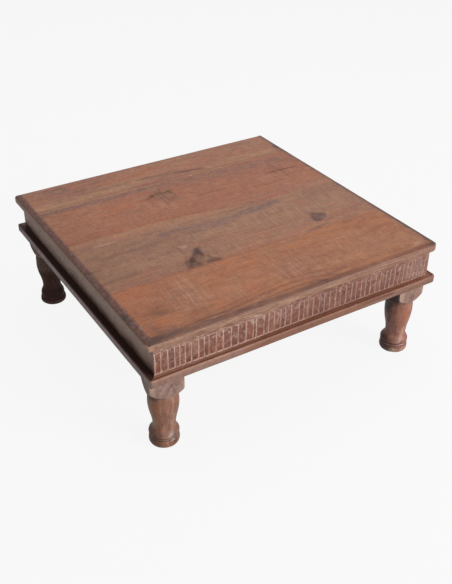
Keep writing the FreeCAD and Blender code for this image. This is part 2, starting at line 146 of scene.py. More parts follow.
class Net:
    """Short-hand for building a node tree."""

    def __init__(self, name):
        self.mat = bpy.data.materials.new(name)
        self.mat.use_nodes = True
        self.t = self.mat.node_tree
        self.bsdf = next(n for n in self.t.nodes if n.type == "BSDF_PRINCIPLED")
        self.out = next(n for n in self.t.nodes if n.type == "OUTPUT_MATERIAL")

    def put(self, sock, value):
        if isinstance(value, bpy.types.NodeSocket):
            self.t.links.new(value, sock)
        elif value is not None:
            if sock.type == "RGBA" and not hasattr(value, "__len__"):
                value = (value, value, value, 1.0)
            elif sock.type == "RGBA" and len(value) == 3:
                value = tuple(value) + (1.0,)
            sock.default_value = value

    def attr(self, name, out="Fac"):
        n = self.t.nodes.new("ShaderNodeAttribute")
        n.attribute_name = name
        return n.outputs[out]

    def obj(self):
        return self.t.nodes.new("ShaderNodeTexCoord").outputs["Object"]

    def split(self, v):
        n = self.t.nodes.new("ShaderNodeSeparateXYZ")
        self.put(n.inputs[0], v)
        return n.outputs[0], n.outputs[1], n.outputs[2]

    def join(self, x, y, z):
        n = self.t.nodes.new("ShaderNodeCombineXYZ")
        for s, v in zip(n.inputs, (x, y, z)):
            self.put(s, v)
        return n.outputs[0]

    def math(self, op, a, b=None, c=None, clamp=False):
        n = self.t.nodes.new("ShaderNodeMath")
        n.operation = op
        n.use_clamp = clamp
        for s, v in zip(n.inputs, (a, b, c)):
            if v is not None:
                self.put(s, v)
        return n.outputs[0]

    def scale(self, v, f):
        """A vector times fixed factors."""
        n = self.t.nodes.new("ShaderNodeVectorMath")
        n.operation = "MULTIPLY"
        self.put(n.inputs[0], v)
        self.put(n.inputs[1], f)
        return n.outputs[0]

    def add(self, v, w):
        n = self.t.nodes.new("ShaderNodeVectorMath")
        n.operation = "ADD"
        self.put(n.inputs[0], v)
        self.put(n.inputs[1], w)
        return n.outputs[0]

    def noise(self, vec, scale=1.0, detail=3.0, rough=0.5, distort=0.0, lac=2.0):
        n = self.t.nodes.new("ShaderNodeTexNoise")
        self.put(n.inputs["Vector"], vec)
        self.put(n.inputs["Scale"], scale)
        self.put(n.inputs["Detail"], detail)
        self.put(n.inputs["Roughness"], rough)
        self.put(n.inputs["Distortion"], distort)
        self.put(n.inputs["Lacunarity"], lac)
        return n.outputs["Fac"]

    def voronoi(self, vec, scale=1.0, feature="F1", rnd=1.0):
        n = self.t.nodes.new("ShaderNodeTexVoronoi")
        n.feature = feature
        self.put(n.inputs["Vector"], vec)
        self.put(n.inputs["Scale"], scale)
        self.put(n.inputs["Randomness"], rnd)
        return n.outputs["Distance"]

    def rng(self, v, a, b, c=0.0, d=1.0, kind="SMOOTHSTEP"):
        n = self.t.nodes.new("ShaderNodeMapRange")
        n.interpolation_type = kind
        for key, val in (("Value", v), ("From Min", a), ("From Max", b), ("To Min", c), ("To Max", d)):
            self.put(n.inputs[key], val)
        return n.outputs[0]

    def mix(self, fac, a, b, mode="MIX"):
        n = self.t.nodes.new("ShaderNodeMix")
        n.data_type = "RGBA"
        n.blend_type = mode
        n.clamp_factor = True
        self.put(n.inputs["Factor"], fac)
        ins = [s for s in n.inputs if s.type == "RGBA"]
        self.put(ins[0], a)
        self.put(ins[1], b)
        return next(s for s in n.outputs if s.type == "RGBA")

    def ramp(self, fac, stops, kind="LINEAR"):
        n = self.t.nodes.new("ShaderNodeValToRGB")
        n.color_ramp.interpolation = kind
        el = n.color_ramp.elements
        while len(el) < len(stops):
            el.new(0.5)
        for e, (p, c) in zip(el, stops):
            e.position = p
            e.color = c if len(c) == 4 else tuple(c) + (1.0,)
        self.put(n.inputs[0], fac)
        return n.outputs[0]

    def bump(self, height, strength, distance, normal=None):
        n = self.t.nodes.new("ShaderNodeBump")
        self.put(n.inputs["Height"], height)
        self.put(n.inputs["Strength"], strength)
        self.put(n.inputs["Distance"], distance)
        if normal is not None:
            self.put(n.inputs["Normal"], normal)
        return n.outputs[0]

    def finish(self, color, rough, normal=None, spec=0.5, metal=0.0, coat=0.0, coat_rough=0.3):
        b = self.bsdf
        self.put(b.inputs["Base Color"], color)
        self.put(b.inputs["Roughness"], rough)
        b.inputs["Metallic"].default_value = metal
        b.inputs["Specular IOR Level"].default_value = spec
        b.inputs["IOR"].default_value = 1.5
        b.inputs["Coat Weight"].default_value = coat
        b.inputs["Coat Roughness"].default_value = coat_rough
        if normal is not None:
            self.put(b.inputs["Normal"], normal)
        return self.mat


# ------------------------------------------------------------------ mesh building, mm in, metres out
def new_piece(name, verts, faces, mat, attrs=None, node=None, sharp=38.0):
    verts = np.asarray(verts, float)
    me = bpy.data.meshes.new(name)
    me.from_pydata((verts / 1000.0).tolist(), [], [tuple(int(i) for i in f) for f in faces])
    me.update()
    for key, val in (attrs or {}).items():
        val = np.asarray(val, np.float32)
        if val.ndim == 2:
            a = me.attributes.new(key, "FLOAT_VECTOR", "POINT")
            a.data.foreach_set("vector", val.reshape(-1))
        else:
            a = me.attributes.new(key, "FLOAT", "POINT")
            a.data.foreach_set("value", val.reshape(-1))
    me.shade_smooth()
    me.set_sharp_from_angle(angle=math.radians(sharp))
    me.materials.append(mat)
    ob = bpy.data.objects.new(name, me)
    bpy.context.scene.collection.objects.link(ob)
    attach(ob, "root")
    if node:
        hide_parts(*([node] if isinstance(node, str) else node))
    return ob


def tidy(verts, faces, extra):
    """Merge vertices in the same place and drop what collapses."""
    key = np.round(verts * 1e5).astype(np.int64)
    _, first, inv = np.unique(key, axis=0, return_index=True, return_inverse=True)
    inv = inv.reshape(-1)
    out = []
    for f in faces:
        g = []
        for i in f:
            j = int(inv[i])
            if not g or g[-1] != j:
                g.append(j)
        if len(g) > 1 and g[0] == g[-1]:
            g.pop()
        if len(g) >= 3:
            out.append(g)
    return verts[first], out, {k: v[first] for k, v in extra.items()}, inv


def plane_orient(verts, faces):
    return faces


# ------------------------------------------------------------------ materials: boards of the top
def board_material(name, red, tan, dark, seed):
    n = Net(name)
    g = n.attr("grain", "Vector")
    k_dark, k_tan, k_red = n.split(n.attr("m1", "Vector"))
    k_grey, k_pale, k_chat = n.split(n.attr("m2", "Vector"))
    k_arris, k_bevel, k_nose = n.split(n.attr("m3", "Vector"))
    k_black, k_slate, k_glow = n.split(n.attr("m4", "Vector"))
    gx, gy, gz = n.split(g)
    o = n.obj()
    ox, oy, oz = n.split(o)
    warp = n.noise(n.scale(o, (9, 26, 22)), 1.0, 3, 0.55)
    gyw = n.math("ADD", gy, n.math("MULTIPLY", n.math("SUBTRACT", warp, 0.5), 0.010))
    oxz = n.math("ADD", oz, 0.0)

    def streak(ka, kb, detail, s):
        return n.noise(n.join(n.math("MULTIPLY", gx, ka),
                              n.math("ADD", n.math("MULTIPLY", gyw, kb), n.math("MULTIPLY", oxz, kb * 1.5)),
                              seed + s), 1.0, detail, 0.6)
    band = streak(2.3, 42, 5, 0.0)
    fib = streak(8, 190, 5, 3.1)
    fine = streak(20, 620, 4, 7.7)
    mott = n.noise(n.add(n.scale(o, (58, 84, 60)), (seed, 0, 0)), 1.0, 4, 0.65)
    blot = n.noise(n.add(n.scale(o, (8, 15, 9)), (seed * 1.7, 3, 0)), 1.0, 4, 0.55)
    speck = n.noise(n.add(n.scale(o, (420, 420, 420)), (seed, 5, 0)), 1.0, 3, 0.65)
    f = n.math("ADD", n.math("MULTIPLY", band, 0.55), n.math("MULTIPLY", blot, 0.45))
    f = n.rng(f, 0.40, 0.60)
    base = n.mix(f, red, tan)
    base = n.mix(n.math("MULTIPLY", k_red, 0.9), base, lin(152, 88, 60))
    base = n.mix(n.math("MULTIPLY", k_tan, 0.78), base, lin(162, 124, 90))
    base = n.mix(n.math("MULTIPLY", k_glow, n.rng(mott, 0.3, 0.65, 0.5, 1.0)), base, lin(176, 104, 58))
    grey_in = n.math("MULTIPLY", k_grey, n.rng(mott, 0.3, 0.62, 0.6, 1.0))
    base = n.mix(grey_in, base, lin(116, 88, 82))
    base = n.mix(n.rng(mott, 0.52, 0.72, 0.0, 0.40), base, dark)
    base = n.mix(n.rng(mott, 0.46, 0.28, 0.0, 0.32), base, lin(184, 138, 108))
    cloud = n.noise(n.add(n.scale(o, (34, 62, 40)), (seed + 4.1, 2, 0)), 1.0, 3, 0.6)
    puff = n.noise(n.add(n.scale(o, (120, 190, 120)), (seed + 8.3, 1, 0)), 1.0, 3, 0.6)
    ray = n.noise(n.join(n.math("ADD", n.math("MULTIPLY", ox, 330), n.math("MULTIPLY", warp, 3.0)),
                         n.math("MULTIPLY", oy, 46), seed + 2.2), 1.0, 3, 0.6)
    base = n.mix(n.rng(fib, 0.52, 0.68, 0.0, 0.22), base, dark)
    base = n.mix(n.rng(fib, 0.46, 0.30, 0.0, 0.13), base, lin(188, 142, 114))
    base = n.mix(n.rng(fine, 0.55, 0.68, 0.0, 0.20), base, lin(92, 60, 50))
    base = n.mix(n.rng(cloud, 0.52, 0.70, 0.0, 0.46), base, lin(138, 104, 80))
    base = n.mix(n.rng(cloud, 0.47, 0.32, 0.0, 0.36), base, lin(152, 92, 72))
    base = n.mix(n.rng(puff, 0.52, 0.70, 0.0, 0.34), base, lin(170, 118, 84))
    base = n.mix(n.rng(puff, 0.47, 0.32, 0.0, 0.30), base, lin(122, 82, 76))
    base = n.mix(n.rng(ray, 0.52, 0.72, 0.0, 0.24), base, lin(184, 142, 116))
    base = n.mix(n.rng(ray, 0.48, 0.30, 0.0, 0.22), base, lin(112, 74, 62))
    base = n.mix(n.rng(speck, 0.55, 0.68, 0.0, 0.34), base, lin(84, 54, 44))
    base = n.mix(n.rng(speck, 0.44, 0.32, 0.0, 0.26), base, lin(206, 166, 138))
    # saw chatter across the grain
    cw = n.noise(n.scale(o, (26, 60, 30)), 1.0, 2, 0.5)
    cu = n.math("ADD", n.math("MULTIPLY", ox, 175), n.math("MULTIPLY", cw, 1.1))
    cu = n.math("ADD", cu, n.math("MULTIPLY", oy, -12.0))
    chat = n.noise(n.join(cu, n.math("MULTIPLY", oy, 15), seed), 1.0, 1, 0.5)
    chat = n.rng(chat, 0.3, 0.7, -1.0, 1.0)
    chat_h = n.math("MULTIPLY", chat, k_chat)
    base = n.mix(n.rng(chat_h, 0.05, 1.0, 0.0, 0.26, "LINEAR"), base, lin(196, 158, 134))
    base = n.mix(n.rng(chat_h, -0.05, -1.0, 0.0, 0.24, "LINEAR"), base, lin(92, 62, 52))
    # figure, knots, scuffs
    base = n.mix(k_dark, base, lin(72, 42, 32))
    base = n.mix(k_black, base, lin(58, 46, 46))
    base = n.mix(k_pale, base, lin(196, 168, 146))
    # wear on the rim; the arris colour also carries a painted highlight along the front edge
    rub = n.noise(n.scale(o, (150, 150, 150)), 1.0, 4, 0.65)
    run = n.noise(n.join(n.math("MULTIPLY", gx, 22), n.math("MULTIPLY", oz, 420), n.math("MULTIPLY", oy, 14)), 1.0, 4, 0.62)
    base = n.mix(n.math("MULTIPLY", k_bevel, n.rng(rub, 0.3, 0.6, 0.7, 0.95)), base,
                 n.mix(n.rng(rub, 0.4, 0.62), lin(92, 64, 58), lin(126, 90, 80)))
    part = n.rng(ox, -0.06, 0.20, 0.0, 1.0)
    nose = n.mix(n.rng(run, 0.36, 0.62), n.mix(part, lin(134, 96, 78), lin(122, 86, 70)), n.mix(part, lin(174, 136, 114), lin(164, 124, 104)))
    nose = n.mix(n.rng(rub, 0.52, 0.68, 0.0, 0.55), nose, lin(104, 70, 58))
    base = n.mix(k_nose, base, nose)
    base = n.mix(n.math("MULTIPLY", k_arris, n.rng(rub, 0.34, 0.54, 0.25, 1.0)), base, lin(204, 160, 134))
    base = n.mix(n.math("MULTIPLY", k_slate, n.rng(rub, 0.35, 0.6, 0.75, 1.0)), base, lin(60, 50, 50))
    rough = n.rng(n.math("ADD", n.math("MULTIPLY", fib, 0.6), n.math("MULTIPLY", mott, 0.6)), 0.4, 0.8, 0.36, 0.58)
    h = n.math("ADD", n.math("MULTIPLY", fib, -0.5), n.math("MULTIPLY", speck, -0.35))
    h = n.math("ADD", h, n.math("MULTIPLY", chat_h, 0.18))
    h = n.math("ADD", h, n.math("MULTIPLY", k_dark, -0.4))
    return n.finish(base, rough, n.bump(h, 0.4, 0.0006), spec=0.42)


# ------------------------------------------------------------------ the top
PROFILE = []            # (inset, z, arris, bevel, nose)


def _profile():
    p = [(12.0, TOPB, 0, 0, 0), (7.0, TOPB, 0, 0, 0), (3.0, TOPB, 0, 0, 0.2)]
    for k in range(1, 5):
        a = math.radians(90 * k / 4)
        p.append((3.0 - 3.0 * math.sin(a), TOPB + 3.0 - 3.0 * math.cos(a), 0, 0, 0.3 + 0.7 * k / 4))
    p += [(0.0, 232.6, 0, 0, 1), (0.0, 234.8, 0, 0, 1), (0.0, 236.8, 0.05, 0, 1), (0.05, 238.4, 0.45, 0, 0.9),
          (0.35, 239.7, 0.95, 0, 0.5), (0.95, 240.7, 1.0, 0, 0.1), (1.9, 241.4, 0.8, 0.15, 0), (3.1, 242.0, 0.3, 0.6, 0),
          (4.6, 242.75, 0.05, 1, 0), (6.2, 243.55, 0, 1, 0), (7.8, 244.35, 0, 0.95, 0), (9.1, 244.95, 0, 0.7, 0),
          (10.2, 245.22, 0, 0.3, 0), (12.0, TOPZ, 0, 0.0, 0)]
    return p


def top_stations(lo, hi, must, step):
    """Fixed stations from 16 mm inside one end to 16 mm inside the other, through the seams."""
    cuts = [lo + 16.0] + sorted(must) + [hi - 16.0]
    out = [cuts[0]]
    for a, b in zip(cuts, cuts[1:]):
        k = max(1, int(round((b - a) / step)))
        out += [a + (b - a) * i / k for i in range(1, k + 1)]
    return np.array(out)


def build_top():
    step = 2.0
    radii = {"A": 4.0, "B": 9.0, "C": 6.0, "D": 6.0}
    xs = top_stations(-TX, TX, (), step)
    ys = top_stations(TYF, TYB, SEAMS, step)
    prof = _profile()
    NA, NL = 6, 3
    lerp = [(i + 1) / (NL + 1) for i in range(NL)]

    def side(fixed, lo_end, hi_end, up=True):
        """Coordinates along one side for a ring whose straight run goes lo_end..hi_end."""
        a = [lo_end + (fixed[0] - lo_end) * t for t in lerp]
        b = [fixed[-1] + (hi_end - fixed[-1]) * t for t in lerp]
        s = np.array(a + list(fixed) + b)
        return s if up else s[::-1]

    rings, info, tags = [], [], []
    for inset, z, ar, be, no in prof:
        pts, sd = [], []

        def corner(cx, cy, sx, sy, r, a0, which):
            rr, c = max(r - inset, 0.0), max(r, inset)
            ox, oy = cx - sx * c, cy - sy * c
            for i in range(NA + 1):
                a = math.radians(a0 + 90.0 * i / NA)
                pts.append((ox + rr * math.cos(a), oy + rr * math.sin(a)))
                sd.append(which)
        e = {k: max(r, inset) for k, r in radii.items()}
        corner(-TX, TYF, -1, -1, radii["A"], 180, 5)
        for x in side(xs, -TX + e["A"], TX - e["B"]):
            pts.append((x, TYF + inset)); sd.append(0)
        corner(TX, TYF, 1, -1, radii["B"], 270, 6)
        for y in side(ys, TYF + e["B"], TYB - e["C"]):
            pts.append((TX - inset, y)); sd.append(1)
        corner(TX, TYB, 1, 1, radii["C"], 0, 7)
        for x in side(xs, -TX + e["D"], TX - e["C"], False):
            pts.append((x, TYB - inset)); sd.append(2)
        corner(-TX, TYB, -1, 1, radii["D"], 90, 8)
        for y in side(ys, TYF + e["A"], TYB - e["D"], False):
            pts.append((-TX + inset, y)); sd.append(3)
        rings.append(pts)
        info.append((inset, z, ar, be, no))
        tags = sd
    M, R = len(rings[0]), len(rings)
    V, ins, arr, bev, nos, sid = [], [], [], [], [], []
    for pts, (inset, z, ar, be, no) in zip(rings, info):
        for (x, y), s in zip(pts, tags):
            V.append((x, y, z)); ins.append(inset); arr.append(ar); bev.append(be); nos.append(no); sid.append(s)
    faces = []
    for j in range(R - 1):
        for i in range(M):
            k = (i + 1) % M
            faces.append((j * M + i, j * M + k, (j + 1) * M + k, (j + 1) * M + i))
    # flat field on top
    gx = np.concatenate([[-TX + 12], side(xs, -TX + 12, TX - 12), [TX - 12]])
    gy = np.concatenate([[TYF + 12], side(ys, TYF + 12, TYB - 12), [TYB - 12]])
    base = len(V)
    for y in gy:
        for x in gx:
            V.append((x, y, TOPZ)); ins.append(12.0); arr.append(0); bev.append(0); nos.append(0); sid.append(9)
    nx, ny = len(gx), len(gy)
    for j in range(ny - 1):
        for i in range(nx - 1):
            a = base + j * nx + i
            faces.append((a, a + 1, a + nx + 1, a + nx))
    # underside, in strips
    b2 = len(V)
    for y in gy:
        for x in (gx[0], gx[-1]):
            V.append((x, y, TOPB)); ins.append(12.0); arr.append(0); bev.append(0); nos.append(0); sid.append(9)
    row0 = [b2]
    for x in gx[1:-1]:
        row0.append(len(V)); V.append((x, gy[0], TOPB)); ins.append(12.0); arr.append(0); bev.append(0); nos.append(0); sid.append(9)
    row0.append(b2 + 1)
    rowN = [b2 + 2 * (ny - 1)]
    for x in gx[1:-1]:
        rowN.append(len(V)); V.append((x, gy[-1], TOPB)); ins.append(12.0); arr.append(0); bev.append(0); nos.append(0); sid.append(9)
    rowN.append(b2 + 2 * (ny - 1) + 1)
    faces.append(tuple([b2 + 2, b2 + 3] + row0[::-1]))
    for j in range(1, ny - 2):
        a = b2 + 2 * j
        faces.append((a, a + 2, a + 3, a + 1))
    faces.append(tuple([b2 + 2 * (ny - 2) + 1, b2 + 2 * (ny - 2)] + rowN))
    V = np.array(V, float)
    extra = {"inset": np.array(ins, float), "arris": np.array(arr, float), "bevel": np.array(bev, float),
             "nose": np.array(nos, float), "side": np.array(sid, int)}
    V, faces, extra, _ = tidy(V, faces, extra)
    return V, faces, extra


def shape_top(V, extra):
    """Wear: the front bevel is narrower, the arris is nicked, the field is never quite flat."""
    X, Y, Z = V[:, 0].copy(), V[:, 1].copy(), V[:, 2].copy()
    ins, side = extra["inset"], extra["side"]
    on_front = (Y < TYF + 12.01) & (ins < 11.99)
    # narrower bevel along the front
    k = np.where(on_front & (Y - TYF <= ins + 1e-6), 1.0, 0.0)
    rim = (Z > 238.0)
    own = [0, 0.05, 0.35, 0.95, 1.9, 3.1, 4.6, 6.2, 7.8, 9.1, 10.2, 12.0]
    Y = np.where((k > 0) & rim, TYF + np.interp(ins, own, [0, 0, 0.25, 0.75, 1.6, 2.8, 4.4, 6.1, 7.7, 9.0, 10.2, 12.0]), Y)
    lift = np.interp(ins, own, [0, 0, 0.15, 0.25, 0.35, 0.45, 0.45, 0.35, 0.2, 0.08, 0.02, 0]) * (0.6 + 1.2 * smooth(60, 200, X))
    slope = np.interp(TX - np.abs(X), own, [238.0, 238.4, 239.7, 240.7, 241.4, 242.0, 242.75, 243.55, 244.35, 244.95, 245.22, 245.3])
    Z = np.where((k > 0) & rim, np.maximum(Z, np.minimum(Z + lift, slope)), Z)
    # where on the rim: distance round the edge
    s = np.where(np.abs(X) > TX - 12.01, Y + 1000.0 * np.sign(X), X)
    nick = smooth(0.28, 0.75, fbm(s / 9.0, 0.3, 11, 3)) * 1.0
    wave = 0.5 * fbm(s / 60.0, 4.7, 12, 3) + 0.35 * fbm(s / 18.0, 2.2, 13, 2)
    w = extra["arris"]
    edge_in = w * (0.9 * nick + 0.45 * (wave + 0.5))
    edge_dn = w * (0.8 * nick + 0.5 * (wave + 0.3))
    nose = extra["nose"] * np.clip(0.12 + 0.25 * wave + 0.12 * fbm(s / 4.0, Z / 3.0, 14, 2), 0, 1)
    near = {"l": X < -TX + 12.01, "r": X > TX - 12.01, "f": Y < TYF + 12.01, "b": Y > TYB - 12.01}
    soft = np.where(near["f"] & (X < 150), 1.0, 0.45)
    edge_in, edge_dn = edge_in * soft, edge_dn * soft
    inward = edge_in + nose
    # the right-hand edge is a little fuller and less bevelled
    full = smooth(TX - 12.0, TX - 1.0, X) * smooth(TYF - 1, TYF + 4, Y)
    X = X + (0.35 + 0.95 * smooth(290, -290, Y)) * full * smooth(227.6, 232.0, Z)
    Z = Z + 1.25 * full * smooth(236.0, 239.5, Z) * smooth(245.2, 241.0, Z)
    X = X + np.where(near["l"], inward, 0) - np.where(near["r"], inward, 0)
    Y = Y + np.where(near["f"], inward, 0) - np.where(near["b"], inward, 0)
    Z = Z - np.where(Z > 236, edge_dn, 0)
    top = smooth(238.0, 244.5, V[:, 2])
    dip = 0.16 * fbm(V[:, 0] / 70.0, V[:, 1] / 28.0, 21, 3) + 0.05 * fbm(V[:, 0] / 9.0, V[:, 1] / 5.0, 22, 2) + 0.22
    Z = Z - top * dip
    for sy in SEAMS:
        d = np.abs(V[:, 1] - sy)
        Z = Z - top * 0.45 * np.exp(-(d / 1.3) ** 2) * (0.6 + 0.4 * vnoise(V[:, 0] / 23.0, sy, 23))
    return np.stack([X, Y, Z], 1)


def figure_top(V, extra):
    """Grain direction and the marks of the four planks, from their place on the top."""
    X0, Y0, Z0 = V[:, 0], V[:, 1], V[:, 2]
    wx = 2.2 * fbm(X0 / 16.0, Y0 / 9.0, 41, 3)
    wy = 1.3 * fbm(X0 / 19.0, Y0 / 8.0, 42, 3)
    X, Y = X0 + wx, Y0 + wy
    board = np.digitize(-Y0, [-s for s in SEAMS])     # 0 rear .. 3 front
    gx = X0.copy()
    gy = Y0.copy()
    # slow wander of the grain, different in each plank
    gy = gy + 7.0 * fbm(X0 / 210.0, board * 3.7 + Y0 / 160.0, 43, 2)
    gy = gy + np.where(board == 2, 10.0 * np.sin((X0 + 60) / 120.0) * np.exp(-((Y0 + 60) / 60.0) ** 2), 0)
    # grain parts round the knots
    for kx, ky, rx, ry, push in ((-100, -106, 46, 30, 17), (173, -98, 34, 26, 15), (-50, 140, 34, 24, 12)):
        u, v = (X0 - kx) / rx, (Y0 - ky) / ry
        gy = gy - push * np.tanh(v * 1.6) * np.exp(-(u * u + v * v) * 0.9)
    # the arch at the front edge
    gy = gy + 9.0 * np.exp(-((X0 + 45) / 80.0) ** 2) * np.exp(-((Y0 + 292) / 26.0) ** 2)
    grain = np.stack([gx / 1000.0, gy / 1000.0, board * 0.77], 1)

    dark = np.zeros(len(V)); tan = np.zeros(len(V)); red = np.zeros(len(V))
    grey = np.zeros(len(V)); pale = np.zeros(len(V)); chat = np.zeros(len(V))
    rough1 = 0.5 + 0.5 * fbm(X0 / 7.0, Y0 / 3.5, 44, 3)
    rough2 = 0.5 + 0.5 * fbm(X0 / 22.0, Y0 / 6.0, 45, 3)
    patch = smooth(-0.35, 0.5, fbm(X0 / 45.0, Y0 / 17.0, 46, 3))

    def on(b):
        return (board == b).astype(float)

    black = np.zeros(len(V)); slate = np.zeros(len(V)); glow = np.zeros(len(V))
    P1 = 0.5 + 0.5 * fbm(X0 / 60.0, Y0 / 13.0, 48, 3)
    P2 = 0.5 + 0.5 * fbm(X0 / 30.0 + 9, Y0 / 10.0, 49, 3)

    def big(lo, hi, p):
        return smooth(lo, hi, p)

    # rear plank
    tan += on(0) * 0.95 * mark(X, Y, [(-276, 208), (-190, 214), (-110, 216), (-45, 219)], 11, 0.3) * (0.55 + 0.45 * rough2)
    tan += on(0) * 0.7 * mark(X, Y, [(-285, 242), (-190, 234), (-90, 232), (20, 240)], 9, 0.3) * big(0.35, 0.7, P1)
    tan += on(0) * 0.75 * mark(X, Y, [(100, 214), (190, 211), (292, 214)], 9, 0.3) * (0.5 + 0.5 * rough2)
    tan += on(0) * 0.5 * mark(X, Y, [(0, 270), (120, 262), (290, 252)], 13, 0.3) * big(0.3, 0.7, P2)
    red += on(0) * 0.7 * mark(X, Y, [(-290, 252), (-150, 262), (60, 256), (200, 238)], 22) * big(0.3, 0.65, P1)
    glow += on(0) * 0.4 * mark(X, Y, [(-200, 262), (-60, 250), (60, 232)], 15) * big(0.4, 0.75, P2)
    grey += on(0) * 0.75 * spot(X, Y, -215, 268, 90, 24) * big(0.25, 0.6, P2)
    grey += on(0) * 0.6 * mark(X, Y, [(-292, 227), (-170, 228), (-20, 226), (60, 226)], 6, 0.3) * big(0.3, 0.6, P1)
    grey += on(0) * 0.55 * mark(X, Y, [(60, 285), (180, 280), (292, 270)], 9) * big(0.3, 0.7, P1)
    dark += on(0) * 0.30 * big(0.5, 0.85, P2) * spot(X, Y, -200, 262, 110, 34)
    dark += on(0) * 0.42 * mark(X, Y, [(-300, 199), (-90, 200), (60, 199), (120, 197), (200, 197), (300, 198)], 3.0) * (0.45 + 0.55 * rough2)
    dark += on(0) * 0.62 * mark(X, Y, [(26, 221), (50, 215), (70, 212), (95, 208)], 3.4, 0.6)
    black += on(0) * 0.30 * mark(X, Y, [(30, 220), (55, 214), (88, 209)], 2.4, 0.6)
    dark += on(0) * 0.34 * mark(X, Y, [(-60, 230), (-30, 228), (0, 224), (30, 219)], 3.0, 0.5)
    pale += 0.9 * spot(X0, Y0, 51, 191.5, 2.6, 1.8) + 0.8 * spot(X0, Y0, 125, 191, 2.2, 1.6)

    # plank behind the middle
    red += on(1) * 0.8 * (0.5 + 0.5 * rough2) * smooth(16, 50, Y0 - 10 * np.sin((X0 + 60) / 180.0))
    glow += on(1) * 0.35 * big(0.4, 0.75, P1) * smooth(70, 110, Y0) * smooth(178, 150, Y0) * smooth(60, -60, X0)
    tan += on(1) * 0.30 * big(0.45, 0.8, P2) * smooth(60, 100, Y0) * smooth(80, -30, X0)
    grey += on(1) * 1.0 * mark(X, Y, [(-296, 184), (-200, 184), (-120, 182), (-60, 186)], 8, 0.15)
    grey += on(1) * 0.85 * mark(X, Y, [(-60, 182), (8, 176), (60, 174), (120, 171), (200, 168), (290, 162)], 19, 0.3) * (0.45 + 0.55 * P1)
    grey += on(1) * 0.45 * mark(X, Y, [(130, 142), (210, 138), (290, 132)], 12) * big(0.3, 0.7, P1)
    edge_y = np.interp(X0, [-302, -289, -145, -65, -5, 55, 115, 175, 302], [47, 47, 47, 41, 33, 24, 14, 9, 4])
    edge_y = edge_y + 1.6 * fbm(X0 / 30.0, 0.0, 50, 2)
    tan += on(1) * (0.62 - 0.34 * smooth(-9, -22, Y0 - edge_y)) * smooth(3.5, -4.0, Y0 - edge_y) * (0.75 + 0.25 * rough2)
    grey += on(1) * 0.40 * smooth(-12, -26, Y0 - edge_y) * (0.5 + 0.5 * rough2)
    red += on(1) * 0.5 * np.exp(-((Y0 - edge_y - 7) / 6.0) ** 2)
    dark += on(1) * 0.26 * np.exp(-((Y0 - edge_y - 1.5) / 2.2) ** 2) * (0.6 + 0.4 * rough2)
    # the comb-shaped stain
    comb = [([(-81, 138), (-72, 143), (-64, 147)], 4.2, 0.62), ([(-66, 146), (-62, 156)], 3.4, 0.6),
            ([(-64, 146), (-52, 150), (-44, 151), (-36, 148)], 5.0, 0.55), ([(-51, 150), (-50, 164)], 3.0, 0.5),
            ([(-44, 152), (-41, 163), (-39, 170)], 2.8, 0.66), ([(-36, 149), (-25, 151), (-19, 153)], 4.0, 0.45),
            ([(-25, 154), (-24, 142)], 4.2, 0.72), ([(-24, 142), (-22, 132), (-27, 118), (-26, 107)], 3.2, 0.45),
            ([(-52, 141), (-53, 124), (-52, 106)], 3.0, 0.42), ([(-43, 141), (-42, 124), (-44, 106)], 2.8, 0.42),
            ([(-35, 122), (-35, 108)], 2.4, 0.30), ([(-63, 138), (-62, 116)], 2.4, 0.22),
            ([(-98, 144), (-97, 128)], 2.6, 0.28), ([(-88, 146), (-87, 132)], 2.4, 0.22), ([(-77, 136), (-76, 122)], 2.6, 0.24)]
    for pts, w, k in comb:
        black += on(1) * 0.56 * k * mark(X0 + 0.4 * wx, Y0 + 0.4 * wy, pts, w * 1.15, 0.2)
    for tx in (-58, -52, -46, -40, -34, -29):
        black += on(1) * 0.26 * mark(X0 + 0.3 * wx, Y0, [(tx + 2, 150), (tx + 1, 134), (tx - 1, 116)], 1.9, 0.5)
        pale += on(1) * 0.10 * mark(X0 + 0.3 * wx, Y0, [(tx - 1, 146), (tx - 2, 120)], 1.7, 0.5)
    dark += on(1) * 0.16 * spot(X, Y, -50, 140, 34, 18)
    dark += on(1) * 0.48 * mark(X, Y, [(190, 115), (232, 115), (272, 112)], 3.2, 0.5)
    black += on(1) * 0.30 * mark(X, Y, [(204, 115), (232, 114), (258, 113)], 2.2, 0.5)
    dark += on(1) * 0.28 * mark(X, Y, [(225, 146), (228, 120), (229, 84)], 4.2, 0.6)
    dark += on(1) * 0.24 * mark(X, Y, [(212, 138), (214, 100)], 3.2, 0.6)
    dark += on(1) * 0.45 * mark(X, Y, [(22, 100), (52, 101), (84, 98)], 2.4, 0.5)
    pale += on(1) * 0.20 * mark(X, Y, [(-250, 21), (-232, 18), (-210, 19)], 4.0, 0.5)
    black += on(1) * 0.42 * mark(X, Y, [(-214, 12), (-180, 11), (-160, 13)], 3.2, 0.4)
    chat += on(1) * 0.55 * spot(X, Y, -60, 110, 110, 42) * (0.4 + 0.6 * P2)
    chat += on(1) * 0.4 * spot(X, Y, 190, 110, 70, 40)

